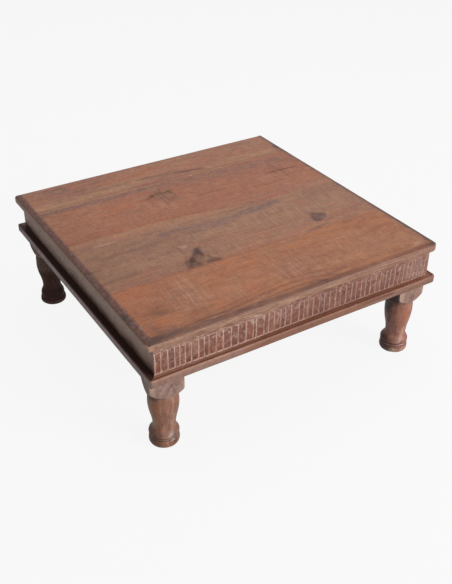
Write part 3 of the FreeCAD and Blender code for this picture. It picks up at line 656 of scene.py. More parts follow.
    # plank before the middle, with the two knots
    tan += on(2) * 0.30 * (0.4 + 0.6 * rough2) * smooth(-150, -20, Y0)
    red += on(2) * 0.62 * smooth(-84, -134, Y0 + 7 * fbm(X0 / 60.0, 2.0, 68, 2)) * (0.55 + 0.45 * rough2)
    tan += on(2) * 0.55 * mark(X, Y, [(-298, -4), (-200, -2), (-120, 2)], 9) * rough2
    glow += on(2) * 0.22 * mark(X, Y, [(-60, -104), (60, -96), (150, -112), (290, -118)], 11) * big(0.3, 0.7, P1)
    tan += on(2) * 0.5 * mark(X, Y, [(-290, -112), (-180, -118), (-60, -124), (60, -122), (290, -128)], 7) * big(0.3, 0.6, P2)
    grey += on(2) * 0.95 * mark(X, Y, [(-120, -6), (-60, -9), (20, -14), (90, -8), (140, -4)], 11, 0.3)
    grey += on(2) * 0.8 * mark(X, Y, [(54, -4), (84, -6), (112, -4)], 7, 0.3)
    grey += on(2) * 0.65 * mark(X, Y, [(-296, -12), (-200, -14), (-120, -12)], 8) * big(0.35, 0.7, P1)
    grey += on(2) * 0.55 * mark(X, Y, [(-120, -22), (-60, -26), (0, -30)], 9) * big(0.3, 0.6, P2)
    grey += on(2) * 0.40 * mark(X, Y, [(190, -10), (292, -14)], 12)
    grey += on(2) * 0.35 * patch
    dark += on(2) * 0.30 * big(0.52, 0.85, P1) * smooth(-10, -40, Y0) * smooth(20, -200, X0)
    chat += on(2) * 0.58 * smooth(-98, -70, Y0) * smooth(-10, -26, Y0) * smooth(-110, -60, X0) * smooth(280, 245, X0) * (0.45 + 0.55 * patch)
    chat += on(2) * 0.35 * spot(X, Y, -200, -70, 70, 40)
    pale += on(2) * 0.20 * wedge(X0, Y0, [(-119, -57), (-101, -60), (-104, -68), (-113, -70)], 2.0)
    tan += on(2) * 0.4 * wedge(X0, Y0, [(-119, -57), (-101, -60), (-104, -68), (-113, -70)], 2.0)
    dark += on(2) * 0.30 * mark(X, Y, [(-121, -62), (-121, -78), (-118, -86)], 2.6, 0.3)
    # knot A stands on the joint
    core = spot(X0, Y0, -97, -91, 8.5, 12, -40, 3.0)
    black += on(2) * 0.50 * core
    black += on(2) * 0.34 * mark(X, Y, [(-97, -86), (-90, -82), (-86, -78)], 4.6, 0.3)
    dark += on(2) * 0.52 * mark(X, Y, [(-93, -80), (-93, -96), (-95, -108)], 4.6, 0.2)
    dark += on(2) * 0.34 * wedge(X, Y, [(-88, -78), (-95, -112), (-112, -134), (-132, -136), (-126, -110), (-104, -92)], 4.0) * (0.5 + 0.5 * rough1)
    dark += on(2) * 0.22 * wedge(X, Y, [(-92, -108), (-70, -136), (-130, -139)], 4.0) * (0.5 + 0.5 * rough1)
    dark += on(2) * 0.44 * mark(X, Y, [(-100, -94), (-110, -104), (-118, -113)], 6.2, 0.1)
    dark += on(2) * 0.34 * mark(X, Y, [(-117, -110), (-115, -122), (-113, -134)], 5.0, 0.1)
    dark += on(2) * 0.48 * mark(X, Y, [(-118, -112), (-127, -124), (-134, -138)], 4.8, 0.1)
    dark += on(2) * 0.40 * mark(X, Y, [(-126, -104), (-133, -118), (-138, -137)], 3.4, 0.2)
    black += on(2) * 0.30 * mark(X, Y, [(-128, -130), (-119, -134), (-110, -137)], 4.2)
    dark += on(2) * 0.55 * mark(X, Y, [(-94, -132), (-84, -134), (-71, -137)], 5.2, 0.2)
    dark += on(2) * 0.35 * mark(X, Y, [(-84, -112), (-82, -122), (-74, -132)], 3.0, 0.2)
    dark += on(2) * 0.22 * mark(X, Y, [(-92, -100), (-86, -112), (-86, -128)], 5.0, 0.2)
    tan += on(2) * 0.4 * spot(X, Y, -99, -119, 9, 9)
    dark += on(2) * 0.20 * mark(X, Y, [(-60, -66), (-74, -84)], 2.4, 0.5)
    # knot B: a five-sided eye, darkest along its left and its head
    Xk, Yk = X0 + 0.8 * wx, Y0 + 0.8 * wy
    eye = wedge(Xk, Yk, [(169, -77), (193, -95), (187, -108), (168, -114), (158, -111), (160, -92)], 3.0)
    dark += on(2) * eye * (0.27 + 0.12 * rough1)
    grey += on(2) * eye * 0.9
    slate += on(2) * eye * 0.10
    dark += on(2) * 0.24 * mark(Xk, Yk, [(160, -94), (160, -108), (166, -112)], 5.5)
    dark += on(2) * 0.22 * mark(Xk, Yk, [(166, -80), (178, -86), (190, -96)], 4.0)
    black += on(2) * 0.16 * mark(Xk, Yk, [(160, -96), (161, -108), (167, -111)], 4.0)
    pale += on(2) * 0.10 * spot(Xk, Yk, 180, -107, 7, 4, 30)
    red += on(2) * 0.6 * spot(X0, Y0, 166, -88, 5, 6, 50)
    dark += on(2) * 0.10 * mark(X, Y, [(150, -70), (140, -92), (146, -112)], 5.0, 0.4) * rough2
    dark += on(2) * (0.34 * mark(X0, Y0, [(184, -117), (195, -114)], 3.4, 0.3) + 0.34 * spot(X0, Y0, 176, -120, 3.2, 2.8, 30))
    dark += on(2) * 0.42 * mark(X0, Y0, [(126, -135), (149, -133), (160, -130), (173, -130)], 2.6, 0.5)

    dark += on(2) * 0.075 * smooth(-50, -130, X0)
    # front plank
    dark += on(3) * 0.055 * smooth(-40, -140, X0)
    red += on(3) * (0.40 + 0.35 * rough2) * (0.6 + 0.4 * smooth(150, -200, X0))
    glow += on(3) * 0.60 * big(0.3, 0.7, P1) * smooth(60, -120, X0)
    glow += on(3) * 0.35 * big(0.35, 0.7, P2)
    tan += on(3) * 0.35 * big(0.45, 0.8, P2) * smooth(-140, -200, Y0)
    grey += on(3) * 0.36 * spot(X, Y, -200, -210, 46, 60) * (0.5 + 0.5 * P2)
    grey += on(3) * 0.45 * spot(X, Y, 30, -226, 60, 40) * (0.5 + 0.5 * P1)
    grey += on(3) * 0.40 * spot(X, Y, 200, -232, 70, 36) * (0.5 + 0.5 * P2)
    chat += on(3) * 0.9 * spot(X, Y, -180, -200, 40, 52)
    chat += on(3) * 0.62 * spot(X, Y, 7, -222, 38, 36)
    chat += on(3) * 0.5 * spot(X, Y, 81, -236, 26, 30)
    chat += on(3) * 0.4 * spot(X, Y, 170, -200, 60, 34)
    pale += on(3) * 0.16 * spot(X, Y, -173, -204, 26, 46) * rough1
    pale += on(3) * 0.12 * spot(X, Y, -110, -222, 30, 26) * rough1
    dark += on(3) * 0.22 * big(0.5, 0.85, P1) * smooth(100, -120, X0)
    dark += on(3) * 0.42 * mark(X, Y, [(-292, -283), (-240, -284), (-190, -280), (-145, -281), (-81, -270), (-25, -265), (35, -269), (75, -285)], 2.8) * (0.55 + 0.45 * rough2)
    dark += on(3) * 0.30 * mark(X, Y, [(-250, -272), (-200, -274), (-120, -266), (-60, -256), (0, -253), (60, -260), (120, -282)], 2.4) * (0.3 + 0.7 * rough2)
    dark += on(3) * 0.30 * mark(X, Y, [(-90, -286), (-30, -279), (20, -281), (50, -288)], 2.2)
    dark += on(3) * 0.30 * mark(X, Y, [(60, -276), (140, -272), (220, -276), (292, -274)], 2.4) * big(0.3, 0.6, P2)
    dark += on(3) * 0.42 * spot(X, Y, -246, -228, 22, 9, -12) + on(3) * 0.22 * spot(X, Y, -244, -212, 20, 9)
    grey += on(3) * 0.7 * spot(X, Y, -253, -280, 16, 8) + on(3) * 0.5 * spot(X, Y, -276, -258, 6, 9)
    dark += on(3) * 0.28 * spot(X, Y, -270, -268, 8, 12)
    dark += on(3) * 0.22 * spot(X, Y, -280, -207, 6, 5)
    pale += on(3) * 0.24 * spot(X, Y, 268, -277, 14, 4.5, 14)
    far = smooth(-190, -262, X0)
    dark += 0.17 * far * (on(1) + on(2)) * (0.6 + 0.4 * rough2)
    tan += 0.20 * far * on(2) * rough2
    grey *= 1 - 0.5 * far * on(2)
    red += on(3) * 0.35 * smooth(-110, -250, X0)
    glow += on(3) * 0.30 * smooth(-90, -230, X0)
    dark += on(3) * 0.07 * smooth(-60, -220, X0)
    # seams, mostly lost under the wax
    for sy, k in ((190.8, 0.30), (14.0, 0.22), (-138.8, 0.30)):
        d = np.abs(Y0 - sy)
        dark += k * np.exp(-(d / 1.3) ** 2) * (0.2 + 0.8 * (0.5 + 0.5 * vnoise(X0 / 17.0, sy, 47)))
    # dark where hands have rubbed along the front and the left
    lines = 0.5 + 0.5 * fbm(X0 / 70.0, Y0 / 2.2, 95, 3)
    lines = smooth(0.40, 0.62, lines)
    front_l = smooth(20, -70, X0)
    ledge = np.where((Y0 < TYF + 12.01) & (extra["inset"] < 11.99), smooth(-0.1, 0.25, extra["inset"]), 1.0) * smooth(-283.5, -288.0, Y)
    grey += 0.10 * ledge
    red += 0.5 * ledge
    dark += ledge * (0.57 + 0.08 * smooth(-150, -60, X0) * smooth(210, 160, X0)) * (0.72 + 0.28 * rough2)
    dark += 0.17 * smooth(-268, -285, Y) * smooth(170, 90, X0) * (0.5 + 0.5 * rough2)
    dark += 0.13 * smooth(-262, -282, Y) * smooth(180, 225, X0)
    for ly, lw, lk in ((-289.0, 1.0, 0.34), (-285.2, 1.0, 0.30), (-280.5, 1.2, 0.26), (-276.0, 1.3, 0.20)):
        off = 1.2 * fbm(X0 / 60.0, ly, 96, 2)
        dark += lk * front_l * np.exp(-((Y0 - ly - off) / lw) ** 2) * (0.45 + 0.55 * vnoise(X0 / 24.0, ly, 97))
    from_left = X0 + TX + 3.0 * fbm(Y0 / 16.0, X0 / 20.0, 93, 3)
    grey += 0.60 * smooth(14.5, 10.5, from_left) * (0.6 + 0.4 * rough2)
    dark += 0.16 * smooth(14.5, 11, from_left) + 0.13 * smooth(64, 14, from_left) * smooth(-140, -240, Y0) * (0.5 + 0.5 * rough2)
    # grime along the rim of the field, widest at the right
    rim = np.minimum.reduce([TX - np.abs(X0), Y0 - TYF, TYB - Y0])
    at_front = smooth(16.0, 12.0, Y0 - TYF) * smooth(6.0, 12.0, TX - np.abs(X0))
    dark += 0.34 * np.exp(-((rim - 9.0) / 3.4) ** 2) * (Z0 > 240) * (0.4 + 0.6 * rough2) * (1 - at_front)
    rr_ = TX - X0
    wide = 9.6 + 2.5 * fbm(Y0 / 30.0, 3.0, 65, 3) + 9.0 * np.exp(-((Y0 - 222) / 16.0) ** 2)
    sl = smooth(wide, wide - 2.2, rr_) * (Z0 > 237) * smooth(TYF + 5, TYF + 9, Y0)
    slate += sl * (0.26 + 0.42 * smooth(-60, -200, Y0) + 0.25 * np.exp(-((Y0 - 222) / 16.0) ** 2) + 0.12 * fbm(Y0 / 9.0, rr_ / 3.0, 69, 2))
    grey += 0.9 * sl
    dark += 0.35 * np.exp(-((rr_ - wide) / 1.2) ** 2) * (Z0 > 240) * smooth(0, -150, Y0)
    slate += 0.75 * smooth(6.0, 2.0, TYB - Y0) * (Z0 > 237)
    grey += (0.45 * smooth(30, 12, rr_) + 0.35 * smooth(48, 14, rr_) * smooth(-150, -250, Y0)) * P2
    dark += 0.16 * smooth(40, 14, rr_) * smooth(-170, -260, Y0) * rough2

    arris, bevel, nose = extra["arris"].copy(), extra["bevel"].copy(), extra["nose"].copy()
    front = (Y0 < TYF + 12.01)
    left = (X0 < -TX + 12.01) & (~front | (X0 + TX < Y0 - TYF))
    right = (X0 > TX - 12.01) & (~front | (TX - X0 < Y0 - TYF))
    back = (Y0 > TYB - 12.01)
    bevel = bevel * np.where(left, 0.95, np.where(front, 0.8, 0.8))
    bevel = np.maximum(bevel, 0.9 * left * smooth(12.0, 10.6, X0 + TX) * (Z0 > 239.2))
    inset = extra["inset"]
    ahead = front & ~left & ~right & (Z0 > 238.0) & (Y0 - TYF < inset + 0.01) & (inset < 11.99)
    bevel = np.where(ahead, 0.0, bevel)
    # glint: a painted highlight along the front arris and on the face just below it, carried in the arris mask
    shine = 0.62 + 0.38 * vnoise(X0 / 38.0, 5.0, 66)
    arris = arris * np.where(left, 0.0, np.where(right, 0.05, 0.15))
    glint = shine * (0.54 - 0.12 * smooth(-200, -250, X0)) * (0.55 + 0.45 * vnoise(X0 / 5.0, 2.0, 98))
    arris = np.where(ahead, glint * np.exp(-(inset / 0.08) ** 2), arris)
    arris = np.where(front & ~left & ~right & (Z0 <= 240.2) & (Z0 > 236.5), glint * np.exp(-((Z0 - 238.8) / 1.0) ** 2), arris)
    dark += front * 0.3 * smooth(239.2, 240.0, Z0) * (Z0 <= 240.2)
    nose = np.where(ahead, smooth(0.8, 0.15, inset), nose)
    slate += 0.30 * left * np.exp(-((inset - 3.0) / 1.5) ** 2) * (Z0 > 239)
    arris += 0.8 * left * np.exp(-((Y0 - TYF - 2) / 5.0) ** 2) * extra["arris"]
    brow = (front & ~left & ~right) * smooth(237.9, 239.3, Z0)
    nose = nose * (1 - (0.72 - 0.35 * smooth(110, 160, X0)) * brow)
    red += 0.45 * brow * (inset < 0.3)
    dark += 0.12 * brow * (inset < 0.3) * smooth(-120, -240, X0)
    nose = np.where(right, nose * 0.6, np.where(left, nose * 0.25, nose))
    # the left face of the nose is painted paler and greyer than its wood: a painted reflection of the pale floor,
    # varied by noise
    left_sheen_noise = fbm(Y0 / 9.0, Z0 / 3.5, 70, 3)
    pale += (0.58 + 0.16 * left_sheen_noise) * left * (Z0 < 240.5)
    slate += 0.22 * left * (Z0 < 240.5) * smooth(0.15, 0.7, fbm(Y0 / 17.0, Z0 / 4.0, 171, 3))
    grey += 0.9 * left * (Z0 < 240.5)
    grey += 0.5 * right * (Z0 < 240.5)
    # under the nose: a thin painted shadow on its rounded underside, and a lighter band along its lower edge, a painted
    # highlight
    lip = front * smooth(229.8, 228.6, Z0) * (Z0 > 227.4)
    dark += 0.08 * lip
    arris += front * (0.24 + 0.12 * smooth(-60, -160, X0)) * np.exp(-((Z0 - 229.4) / 1.7) ** 2) * (0.5 + 0.5 * vnoise(X0 / 8.0, 4.0, 199)) * (Z0 < 236)
    dark += front * 0.10 * np.exp(-((Z0 - 236.2) / 1.2) ** 2) * (0.3 + 0.7 * vnoise(X0 / 17.0, 9.0, 198))
    # paler front-left corner of the nose: rubbed wear with a painted highlight
    arris += front * 0.45 * smooth(-286, -297, X0) * smooth(230, 234, Z0) * (Z0 < 240.5) * (0.5 + 0.5 * rough1)
    # bruises on the left bevel
    slate += 0.85 * spot(X0, Y0, -297, -207, 4.4, 8.0) * (Z0 > 238)
    grey += 0.6 * spot(X0, Y0, -296, -228, 4.0, 12.0)
    pale += 0.34 * mark(X0, Y0, [(-297, -256), (-291, -250), (-286, -245)], 2.2, 0.4) * (Z0 > 238)
    slate += 0.5 * spot(X0, Y0, -287, -249, 2.6, 3.0)
    slate += 0.4 * left * smooth(0.35, 0.8, fbm(Y0 / 14.0, 1.0, 67, 3)) * (Z0 > 239)
    under = (Z0 < 229).astype(float)
    m1 = np.stack([dark, tan, red], 1) * (1 - under)[:, None]
    m2 = np.stack([grey, pale, chat], 1) * (1 - under)[:, None]
    m3 = np.stack([arris, bevel, nose], 1)
    m4 = np.stack([black, slate, glow], 1) * (1 - under)[:, None]
    return grain, np.clip(m1, 0, 1), np.clip(m2, 0, 1), np.clip(m3, 0, 1), np.clip(m4, 0, 0.95), board


def make_top():
    V, faces, extra = build_top()
    P = shape_top(V, extra)
    grain, m1, m2, m3, m4, _ = figure_top(V, extra)
    mats = [
        board_material("top_back_wood", lin(146, 97, 81), lin(160, 115, 88), lin(110, 69, 58), 1.0),
        board_material("top_mid_back_wood", lin(145, 94, 77), lin(157, 110, 87), lin(112, 69, 57), 5.0),
        board_material("top_mid_front_wood", lin(137, 94, 75), lin(151, 110, 86), lin(113, 74, 60), 9.0),
        board_material("top_front_wood", lin(141, 88, 60), lin(157, 108, 75), lin(111, 66, 46), 13.0),
    ]
    names = ("top_board_back", "top_board_mid_back", "top_board_mid_front", "top_board_front")
    edges = (1e9,) + SEAMS + (-1e9,)
    fy = np.array([V[list(f), 1].mean() for f in faces])
    for b, name in enumerate(names):
        hi, lo = edges[b], edges[b + 1]
        mine = [f for f, y in zip(faces, fy) if lo < y < hi]
        used = sorted({i for f in mine for i in f})
        back = {v: i for i, v in enumerate(used)}
        out = [[back[i] for i in f] for f in mine]
        used = np.array(used)
        Vb, Pb = V[used], P[used].copy()
        for s in (hi, lo):
            if abs(s) > 1e6:
                continue
            idx = np.where(np.abs(Vb[:, 1] - s) < 1e-4)[0]
            # loop round the sawn joint: bottom left up to the top, across, and down the right
            left = [i for i in idx if Vb[i, 0] < -TX + 12.001]
            right = [i for i in idx if Vb[i, 0] > TX - 12.001]
            mid = [i for i in idx if abs(Vb[i, 0]) < TX - 12.001]

            def order(group):
                prof = {(round(p[0], 3), round(p[1], 3)): j for j, p in enumerate(_profile())}
                def rank(i):
                    ins = TX - abs(Vb[i, 0])
                    return min(range(len(_P)), key=lambda j: abs(_P[j][0] - ins) + abs(_P[j][1] - Vb[i, 2]))
                return sorted(group, key=rank)
            loop = order(left) + sorted(mid, key=lambda i: Vb[i, 0]) + order(right)[::-1]
            out.append(loop if s == hi else loop[::-1])
            # the joint isn't quite tight
            Pb[idx, 1] += (-0.06 if s == hi else 0.06)
        attrs = {"grain": grain[used], "m1": m1[used], "m2": m2[used], "m3": m3[used], "m4": m4[used]}
        new_piece(name + "_worn", Pb, out, mats[b], attrs, node=name, sharp=50)


_P = _profile()
make_top()


# ------------------------------------------------------------------ panels of the frieze
def sag(x):
    """The base moulding has dropped a little, most of all left of the middle."""
    return np.interp(x, (-290.0, -205.0, -135.0, -35.0, 65.0, 155.0, 290.0), (-1.2, -1.1, -1.35, -0.7, -0.4, -0.6, -0.6))


def sunk(x):
    """How far the moulding's top lies below its own arris, at the foot of the frieze."""
    return np.interp(x, (-290.0, -260.0, -205.0, -135.0, -35.0, 65.0, 155.0, 240.0, 290.0),
                     (-1.3, -1.3, -1.9, -1.7, -1.4, -1.1, -1.2, -1.6, -1.7))


def panel(name, front, corners_back, mat, attrs, node, sharp=50):
    """Closed board: front is a grid (rows of points from one end to the other, bottom
    row first); corners_back are bottom-start, bottom-end, top-start, top-end behind it."""
    nz, nx = front.shape[:2]
    V = front.reshape(-1, 3).tolist()
    n0 = len(V)
    V += [list(c) for c in corners_back]
    bs, be, ts, te = n0, n0 + 1, n0 + 2, n0 + 3
    F = []
    for j in range(nz - 1):
        for i in range(nx - 1):
            a = j * nx + i
            F.append((a, a + 1, a + nx + 1, a + nx))
    F.append([be, bs] + [i for i in range(nx)])                                   # underside
    F.append([ts, te] + [(nz - 1) * nx + i for i in range(nx - 1, -1, -1)])       # top
    F.append([bs, ts] + [j * nx for j in range(nz - 1, -1, -1)])                  # start end
    F.append([te, be] + [j * nx + nx - 1 for j in range(nz)])                     # far end
    F.append([bs, be, te, ts])                                                    # back
    full = {}
    for k, a in attrs.items():
        a = np.asarray(a, float)
        a = a.reshape(-1) if a.ndim == 2 else a.reshape(-1, a.shape[-1])
        pad = np.repeat(a[:1] * 0.0, 4, axis=0)
        full[k] = np.concatenate([a, pad], 0)
    return new_piece(name, V, F, mat, full, node=node, sharp=sharp)


def frieze_front_material():
    n = Net("frieze_front_wood")
    o = n.obj()
    lime, deep, wear_and_highlight = n.split(n.attr("m", "Vector"))
    tone, plum, lip = n.split(n.attr("p", "Vector"))
    ox, oy, oz = n.split(o)
    fib = n.noise(n.join(n.math("MULTIPLY", ox, 46), n.math("MULTIPLY", oy, 60), n.math("MULTIPLY", oz, 420)), 1.0, 4, 0.62)
    mott = n.noise(n.scale(o, (170, 170, 120)), 1.0, 4, 0.65)
    blot = n.noise(n.scale(o, (40, 40, 60)), 1.0, 4, 0.55)
    side = n.rng(ox, -0.12, 0.06, 0.0, 1.0)
    f = n.math("ADD", n.math("MULTIPLY", tone, 0.6), n.math("MULTIPLY", n.rng(blot, 0.36, 0.64), 0.4))
    base = n.mix(f, n.mix(side, lin(118, 74, 64), lin(112, 72, 64)), n.mix(side, lin(148, 95, 74), lin(138, 90, 74)))
    base = n.mix(n.math("MULTIPLY", plum, n.rng(mott, 0.3, 0.6, 0.55, 1.0)), base, lin(112, 76, 70))
    base = n.mix(n.rng(mott, 0.52, 0.70, 0.0, 0.55), base, lin(88, 54, 48))
    base = n.mix(n.rng(mott, 0.45, 0.30, 0.0, 0.5), base, lin(172, 132, 112))
    base = n.mix(n.rng(fib, 0.53, 0.70, 0.0, 0.5), base, lin(84, 52, 44))
    base = n.mix(n.rng(fib, 0.44, 0.32, 0.0, 0.35), base, lin(180, 140, 120))
    base = n.mix(n.math("MULTIPLY", deep, 0.5), base, lin(92, 50, 38))
    chalk = n.noise(n.scale(o, (420, 420, 170)), 1.0, 4, 0.7)
    tanb = n.mix(n.rng(fib, 0.38, 0.6), n.mix(side, lin(126, 88, 72), lin(116, 78, 66)), n.mix(side, lin(172, 134, 113), lin(150, 108, 92)))
    base = n.mix(lip, base, tanb)
    lm = n.math("MULTIPLY", lime, n.rng(chalk, 0.30, 0.52, 0.45, 1.0))
    base = n.mix(lm, base, n.mix(side, lin(214, 184, 170), lin(196, 164, 150)))
    base = n.mix(n.math("MULTIPLY", wear_and_highlight, n.rng(chalk, 0.34, 0.56, 0.4, 1.0)), base, lin(206, 172, 150))
    rough = n.rng(lm, 0.0, 1.0, 0.48, 0.8, "LINEAR")
    h = n.math("ADD", n.math("MULTIPLY", mott, 0.6), n.math("MULTIPLY", fib, 0.5))
    return n.finish(base, rough, n.bump(h, 0.45, 0.0008), spec=0.28)


def make_frieze_front():
    x = np.arange(-BX, BX + 0.01, 0.5)
    z = np.concatenate([np.arange(FZ0, 181.0, 0.5), np.arange(181.0, 213.0, 1.0), np.arange(213.0, 222.0, 0.5),
                        np.arange(222.0, FZ1, 1.1), [FZ1]])
    Xg, Zg = np.meshgrid(x, z)
    depth = np.zeros_like(Xg)
    lime = np.zeros_like(Xg)
    deep = np.zeros_like(Xg)
    wear_and_highlight = np.zeros_like(Xg)
    tone = np.zeros_like(Xg) + 0.5
    plum = np.zeros_like(Xg)
    G = np.array(GROOVES)
    tops = 218.2 + 1.0 * vnoise(np.arange(len(G)) * 1.7, 0.5, 51)
    lean = 0.010 + 0.05 * smooth(120, 290, G)
    for i, g in enumerate(G):
        gz = g + lean[i] * (Zg - 198.0) + 0.35 * vnoise(Zg / 14.0, i * 3.3, 52) + 0.12 * vnoise(Zg / 4.0, i * 1.3, 53)
        d = np.abs(Xg - gz)
        w = 1.2 * (1 + 0.22 * vnoise(Zg / 11.0, i * 2.1, 54))
        end = 1 - smooth(tops[i] - 0.8, tops[i] + 0.6, Zg)
        cut = np.clip(1 - (d / w) ** 2, 0, 1) * end * (1.3 + 0.25 * vnoise(Zg / 8.0, i * 5.1, 55))
        depth = np.maximum(depth, cut)
        k = 0.86 + 0.26 * vnoise(i * 1.9, 2.2, 63)
        strength = k + 0.34 * vnoise(Zg / 7.0, i * 4.4, 56) + 0.25 * smooth(198, 216, Zg) + 0.25 * smooth(190, 181, Zg)
        strength = strength + 0.12 * smooth(0, 60, g) + 0.26 * smooth(120, 180, g)
        lw = 1.12 + 0.25 * vnoise(Zg / 6.0, i * 6.2, 64)
        lime = np.maximum(lime, np.exp(-(d / lw) ** 2) * end * np.clip(strength, 0.25, 1.0))
        if i + 1 < len(G):
            c, h = (g + G[i + 1]) / 2, (G[i + 1] - g) / 2
            zc = min(tops[i], tops[i + 1]) - 0.55 * min(h, 6.5)
            u = (Xg - c - lean[i] * (Zg - 198.0)) / h
            inside = (np.abs(u) < 1) & (Zg < tops[i])
            tone = np.where(np.abs(u) < 1, 0.5 + 0.5 * float(vnoise(i * 3.1, 1.5, 74)), tone)
            pl = smooth(0.0, 0.7, float(vnoise(i * 1.3, 9.1, 75)) + 0.5 * fbm(Zg / 9.0, i * 2.7, 76, 2))
            plum = np.where(np.abs(u) < 1, np.maximum(plum, 0.65 * pl), plum)
            if h > 2.5:
                q = np.sqrt((Xg - c - lean[i] * 18) ** 2 + ((Zg - zc) / 0.62) ** 2)
                ring = np.exp(-((q - h) / 0.95) ** 2) * smooth(zc - 0.5, zc + 1.5, Zg)
                amp = 0.5 + 0.5 * float(vnoise(i * 2.3, 7.7, 57))
                depth = np.maximum(depth, ring * 0.7 * (0.3 + 0.7 * amp))
                lime = np.maximum(lime, ring * (0.15 + 0.35 * amp) * (0.5 + 0.5 * vnoise(Xg / 2.0, Zg / 2.0, 81)))
            depth = np.where(inside, np.maximum(depth, 0.34 * u * u), depth)
    # shallow tool marks and knocks
    depth = depth + 0.12 * (fbm(Xg / 9.0, Zg / 13.0, 58, 3) + 1.0) * smooth(FZ1, FZ1 - 6, Zg)
    knock = smooth(0.35, 0.8, fbm(Xg / 5.0, Zg / 4.0, 77, 2)) * smooth(182, 190, Zg) * smooth(216, 208, Zg)
    depth = depth + 0.45 * knock
    # limed line at the foot and dust under the planks
    foot = np.exp(-(np.maximum(Zg - FZ0 - 1.3, 0) / 1.3) ** 2) * (1 - 0.4 * smooth(-225, -250, Xg)) * (0.82 + 0.30 * vnoise(Xg / 9.0, 3.0, 59)) * (1 - 0.4 * smooth(-110, -40, Xg)) * (1 - 0.95 * smooth(-20, 50, Xg))
    lime = np.maximum(lime, foot)
    at_foot = np.zeros_like(Xg)
    for g, l in zip(G, lean):
        at_foot = np.maximum(at_foot, np.exp(-((Xg - g + 20 * l) / 2.2) ** 2))
    lime = np.maximum(lime, at_foot * np.exp(-((Zg - FZ0 - 1.0) / 1.8) ** 2) * (1 - 0.7 * smooth(-60, 40, Xg)))
    heads = np.exp(-((Zg - 217.6) / 1.6) ** 2) * (0.34 + 0.40 * fbm(Xg / 7.0, 1.0, 60, 3)) * (1 - 0.5 * smooth(-110, 0, Xg)) * (1 - 0.6 * smooth(0, 110, Xg))
    lime = np.maximum(lime, heads)
    fingers = smooth(0.15, 0.6, fbm(Xg / 4.0, Zg / 3.0, 78, 2)) * np.exp(-((Zg - 214.5) / 4.0) ** 2) * 0.55 * (1 - 0.5 * smooth(-60, 100, Xg))
    lime = np.maximum(lime, fingers)
    dust = smooth(0.12, 0.6, fbm(Xg / 5.0, Zg / 6.0, 61, 3)) * (0.30 * smooth(185, 213, Zg) + 0.16)
    rows = smooth(0.25, 0.7, fbm(Xg / 9.0, Zg / 3.4, 79, 2)) * 0.26 * smooth(183, 190, Zg)
    veil = smooth(-284, -272, Xg) * smooth(-176, -222, Xg) * (0.06 + 0.20 * fbm(Xg / 8.0, Zg / 11.0, 180, 3)) * smooth(184, 196, Zg)
    lime = np.maximum(lime, veil)
    lime = np.maximum(lime, np.maximum(dust, rows))
    lip = smooth(218.6, 220.4, Zg) * 0.95
    haze = smooth(212, 246, Xg) * 0.34 * (0.6 + 0.4 * vnoise(Xg / 6.0, Zg / 6.0, 80))
    lime = np.maximum(lime, haze * (0.75 + 0.25 * smooth(FZ1, 220, Zg)))
    for cx, cz, r in ((250, 184.5, 4.2), (258, 186.0, 4.6), (266, 186.0, 4.2), (274, 184.8, 4.2), (281, 184.0, 3.4)):
        q = np.hypot(Xg - cx, (Zg - cz) * 0.9)
        wear_and_highlight = np.maximum(wear_and_highlight, 0.50 * np.exp(-((q - r) / 0.9) ** 2) * smooth(cz - 1, cz + 2, Zg))
        plum = np.maximum(plum, 0.8 * np.exp(-(q / (r * 0.7)) ** 2))
    deep = np.exp(-((Zg - FZ0 - 7.5) / 3.4) ** 2) * 0.95 * smooth(-50, -130, Xg) * (0.6 + 0.4 * vnoise(Xg / 9.0, 8.0, 62))
    wear_and_highlight = np.maximum(wear_and_highlight, 0.32 * np.exp(-(np.maximum(Zg - FZ0 - 0.8, 0) / 1.8) ** 2) * smooth(-60, 20, Xg))
    Yg = -BY + depth
    P = np.stack([Xg, Yg, Zg + (sag(Xg) + sunk(Xg)) * smooth(206, 178, Zg)], -1)
    back = [(-INX, -INY, FZ0 - 2.3), (INX, -INY, FZ0 - 2.3), (-INX, -INY, FZ1), (INX, -INY, FZ1)]
    P[:, 0, 1] = -BY
    P[:, -1, 1] = -BY
    m = np.stack([np.clip(lime, 0, 1), np.clip(deep, 0, 1), np.clip(wear_and_highlight, 0, 1)], -1)
    p = np.stack([np.clip(tone, 0, 1), np.clip(plum, 0, 1), np.clip(lip, 0, 1)], -1)
    panel("frieze_front_carved", P, back, frieze_front_material(), {"m": m, "p": p}, "frieze_front", 70)


